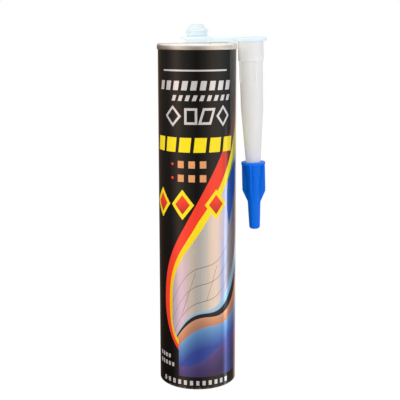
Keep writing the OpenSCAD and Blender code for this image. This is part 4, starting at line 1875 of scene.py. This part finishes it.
@dataclass(frozen=True)
class Studio:
    """A white paper floor, soft lamps, the room round them and the camera."""

    aim: tuple[float, float, float] = (0.0, 0.0, 0.115)
    camera_place: tuple[float, float, float] = (0.0, -0.5299, 0.2247)
    camera_tilt: float = 8.55
    camera_roll: float = -0.129
    lens: float = 75.98
    shift: tuple[float, float] = (0.0067, -0.1086)
    floor_radius: float = 0.45
    # The sky by a direction's z: where it starts, how much more it takes to be full, and what that grows by
    # behind the object, from a first to a last bearing in radians
    sky: Colour = (1.12, 1.19, 1.27)
    sky_start: float = 0.1
    sky_rise: float = 0.3
    sky_rise_behind: float = 0.4
    behind: Point = (1.95, 2.85)
    # The even light that matt surfaces see, from below and from above
    even_low: Colour = (0.816, 0.816, 0.816)
    even_high: Colour = (0.784, 0.8, 0.824)
    # The paper's own colour, the share of it that glows to the camera, and how brightly
    paper: Colour = (0.86, 0.86, 0.86)
    paper_share: float = 0.9
    paper_glow: float = 1.06

    # Brightness of the room by bearing in degrees, as glossy surfaces see it
    room: tuple[tuple[float, Colour], ...] = (
        (-180, (0.24, 0.16, 0.12)),
        (-160, (0.22, 0.14, 0.10)),
        (-146, (0.17, 0.11, 0.08)),
        (-119, (0.19, 0.14, 0.11)),
        (-99, (0.22, 0.19, 0.18)),
        (-82, (0.60, 0.46, 0.40)),
        (-64, (1.15, 0.88, 0.70)),
        (-43, (0.56, 0.50, 0.40)),
        (-22, (0.30, 0.29, 0.26)),
        (0, (0.15, 0.13, 0.12)),
        (23, (0.42, 0.39, 0.34)),
        (45, (0.90, 0.76, 0.62)),
        (68, (0.88, 0.86, 0.76)),
        (96, (0.40, 0.41, 0.42)),
        (122, (0.20, 0.17, 0.15)),
        (139, (0.20, 0.16, 0.14)),
        (155, (1.25, 0.92, 0.83)),
        (180, (0.60, 0.44, 0.38)),
    )
    # Degrees by which the windows lean forward, for each unit that a ray points down past lean_from, and the
    # shares of the turn between which this sets in: the front is at a half of it, and the left at a quarter
    window_lean: float = 68.0
    lean_from: float = 0.03
    lean_side: Point = (0.5, 0.25)
    # How the left darkens towards the floor, by shares of the turn and by how far a ray points down
    dim_side: Point = (0.375, 0.25)
    dim_down: Point = (0.08, 0.4646)
    dim_share: float = 0.85
    # A bright upright strip on the right, low down
    strip: Colour = (2.2, 2.2, 2.376)
    strip_bearing: float = 94.0
    strip_half: float = 4.5
    strip_edge: float = 1.6
    strip_down: Point = (0.09, 0.21)

    lamps: tuple[Lamp, ...] = (
        Lamp("window_right", 52, 0.34, 0.95, 0.55, 0.9, 1.7, (0.82, 0.93, 1.0)),
        Lamp("window_left", -62, 0.30, 1.0, 0.45, 0.8, 1.7, (1.0, 0.90, 0.78)),
        Lamp("fill_front", -26, 0.2, 0.9, 0.4, 0.6, 1.6, (1.0, 0.94, 0.84)),
        Lamp("ceiling", 10, 1.1, 0.35, 0.7, 0.7, 0.3, BRIGHT),
    )

    def room_light(self, graph: Graph, share: Wire, down: Wire) -> Socket:
        """What glossy surfaces see of the room in a direction.

        Args:
            graph: the tree.
            share: the direction's share of a turn, from the back round by the left; the front is at a half.
            down: how far the direction points down.

        Returns:
            The colour.
        """
        leaning = (down - self.lean_from).at_least(0.0) * self.window_lean * share.between(*self.lean_side)
        stops = [(bearing / 360 + 0.5, colour) for bearing, colour in self.room]
        walls = graph.ramp(share - leaning / 360.0, stops)
        dim = down.between(*self.dim_down) * self.dim_share * share.between(*self.dim_side)
        walls = graph.mixed(walls, DARK, dim)
        aside = abs(share * 360.0 - 180.0 - self.strip_bearing) / self.strip_half
        strip = (self.strip_edge - aside).clamped() * down.between(*self.strip_down)
        return graph.mixed(walls, graph.mixed(DARK, self.strip, strip), 1.0, "ADD")

    def build_world(self) -> None:
        """White to the camera, the room to glossy surfaces, an even light to all else."""
        world = bpy.data.worlds.new("studio")
        bpy.context.scene.world = world
        world.use_nodes = True
        graph = Graph(world.node_tree)
        x, y, z = graph.parted(graph.node("ShaderNodeTexCoord").outputs["Generated"])
        turn = graph.math("ARCTAN2", x, y * -1.0)
        ray = graph.node("ShaderNodeLightPath").outputs
        rise = abs(turn).between(*self.behind) * self.sky_rise_behind + self.sky_rise
        overhead = ((z - self.sky_start) / rise).clamped()
        room = graph.mixed(self.room_light(graph, turn / FULL_TURN + 0.5, z * -1.0), self.sky, overhead)
        even = graph.mixed(self.even_low, self.even_high, z * 0.5 + 0.5)
        seen = graph.mixed(even, room, Wire(graph, ray["Is Glossy Ray"]))
        plain = Wire(graph, ray["Is Camera Ray"]) | Wire(graph, ray["Is Transmission Ray"])
        colour = graph.mixed(seen, BRIGHT, plain)
        background = graph.node("ShaderNodeBackground", None, {"Color": colour, "Strength": 1.0})
        graph.node("ShaderNodeOutputWorld", None, {"Surface": background.outputs[0]})

    def paper_material(self) -> Material:
        """White paper that glows to the camera, keeps a faint shadow and lets glossy rays through.

        Returns:
            The material.
        """
        material = bpy.data.materials.new("white_paper")
        material.use_nodes = True
        graph = Graph(material.node_tree)
        ray = graph.node("ShaderNodeLightPath").outputs
        glow = graph.node("ShaderNodeEmission", None, {"Color": BRIGHT, "Strength": self.paper_glow})
        paper = graph.node("ShaderNodeBsdfDiffuse", None, {"Color": self.paper})
        seen = Wire(graph, ray["Is Camera Ray"]) * self.paper_share | Wire(graph, ray["Is Transmission Ray"])
        lit = graph.node("ShaderNodeMixShader", None, {0: seen, 1: paper.outputs[0], 2: glow.outputs[0]})
        room = graph.node("ShaderNodeBsdfTransparent")
        sockets = {0: ray["Is Glossy Ray"], 1: lit.outputs[0], 2: room.outputs[0]}
        mix = graph.node("ShaderNodeMixShader", None, sockets)
        graph.node("ShaderNodeOutputMaterial", None, {"Surface": mix.outputs[0]})
        return material

    def build_floor(self) -> None:
        """A disc of paper, just under the tube's edge."""
        work = bmesh.new()
        bmesh.ops.create_circle(work, cap_ends=True, segments=96, radius=self.floor_radius / MM)
        floor = as_object("paper_floor", work)
        floor.data.transform(Matrix.Translation((0.0, 0.0, -0.1 * MM)))
        if floor.data.polygons[0].normal.z < 0:
            floor.data.flip_normals()
        floor.data.materials.append(self.paper_material())

    def build_camera(self) -> None:
        """The camera at the photograph's viewing angle."""
        data = bpy.data.cameras.new("camera")
        data.lens = self.lens
        data.sensor_width = 36.0
        data.shift_x, data.shift_y = self.shift
        data.clip_start = 0.01
        camera = bpy.data.objects.new("camera", data)
        tilt = Matrix.Rotation(math.radians(90.0 - self.camera_tilt), 4, "X")
        roll = Matrix.Rotation(math.radians(self.camera_roll), 4, "Z")
        camera.matrix_world = Matrix.Translation(self.camera_place) @ tilt @ roll
        bpy.context.scene.collection.objects.link(camera)
        bpy.context.scene.camera = camera

    def build(self) -> None:
        """Set up the camera, the lamps, the room and the floor."""
        bpy.context.scene.view_settings.view_transform = "Standard"
        self.build_camera()
        for lamp in self.lamps:
            lamp.place(Vector(self.aim))
        self.build_world()
        self.build_floor()


def main() -> None:
    """Load the frame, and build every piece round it."""
    logging.basicConfig(level=logging.INFO, format="%(name)s: %(message)s")
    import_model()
    Studio().build()
    ring, helix = Ring(), Helix()
    nozzle = Nozzle()
    shank, collar, flange = srgb(219, 217, 215), srgb(221, 219, 217), srgb(207, 225, 235)
    tip = srgb(206, 209, 228)
    milky = SoftPlastic(
        "milky_nozzle",
        ((138, tip), (152, shank), (205, collar), (216.6, collar), (218.2, flange), (221, flange)),
        milk=0.85,
        milk_depth=5.0,
        # A painted glow for light that the milky nozzle passes on
        glow=0.13,
        hanger=HangerTintAndPaintedLight(),
    )
    clear = SoftPlastic("clear_spout", ((216, srgb(234, 248, 254)), (228, srgb(234, 248, 254))))
    blue = SoftPlastic(
        "cap_blue",
        # The disc at the top is painted lighter than the body below it: a painted highlight on the cap's top
        ((96, srgb(0, 106, 224)), (137, srgb(0, 106, 222)), (140, srgb(0, 118, 240))),
        milk=0.1,
        sheen_level=0.15,
        clouds=6.0,
    )
    pale = SoftPlastic("piston_white", ((12, srgb(228, 230, 230)), (34, srgb(228, 230, 230))))
    Tube().build()
    MetalEnd().build()
    Spout().build(helix, clear.material())
    nozzle.build(ring, helix, milky.material())
    Cap().build(nozzle, ring, blue.material())
    Piston().build(ring, pale.material())
    Sealant().build()


if __name__ == "__main__":
    main()
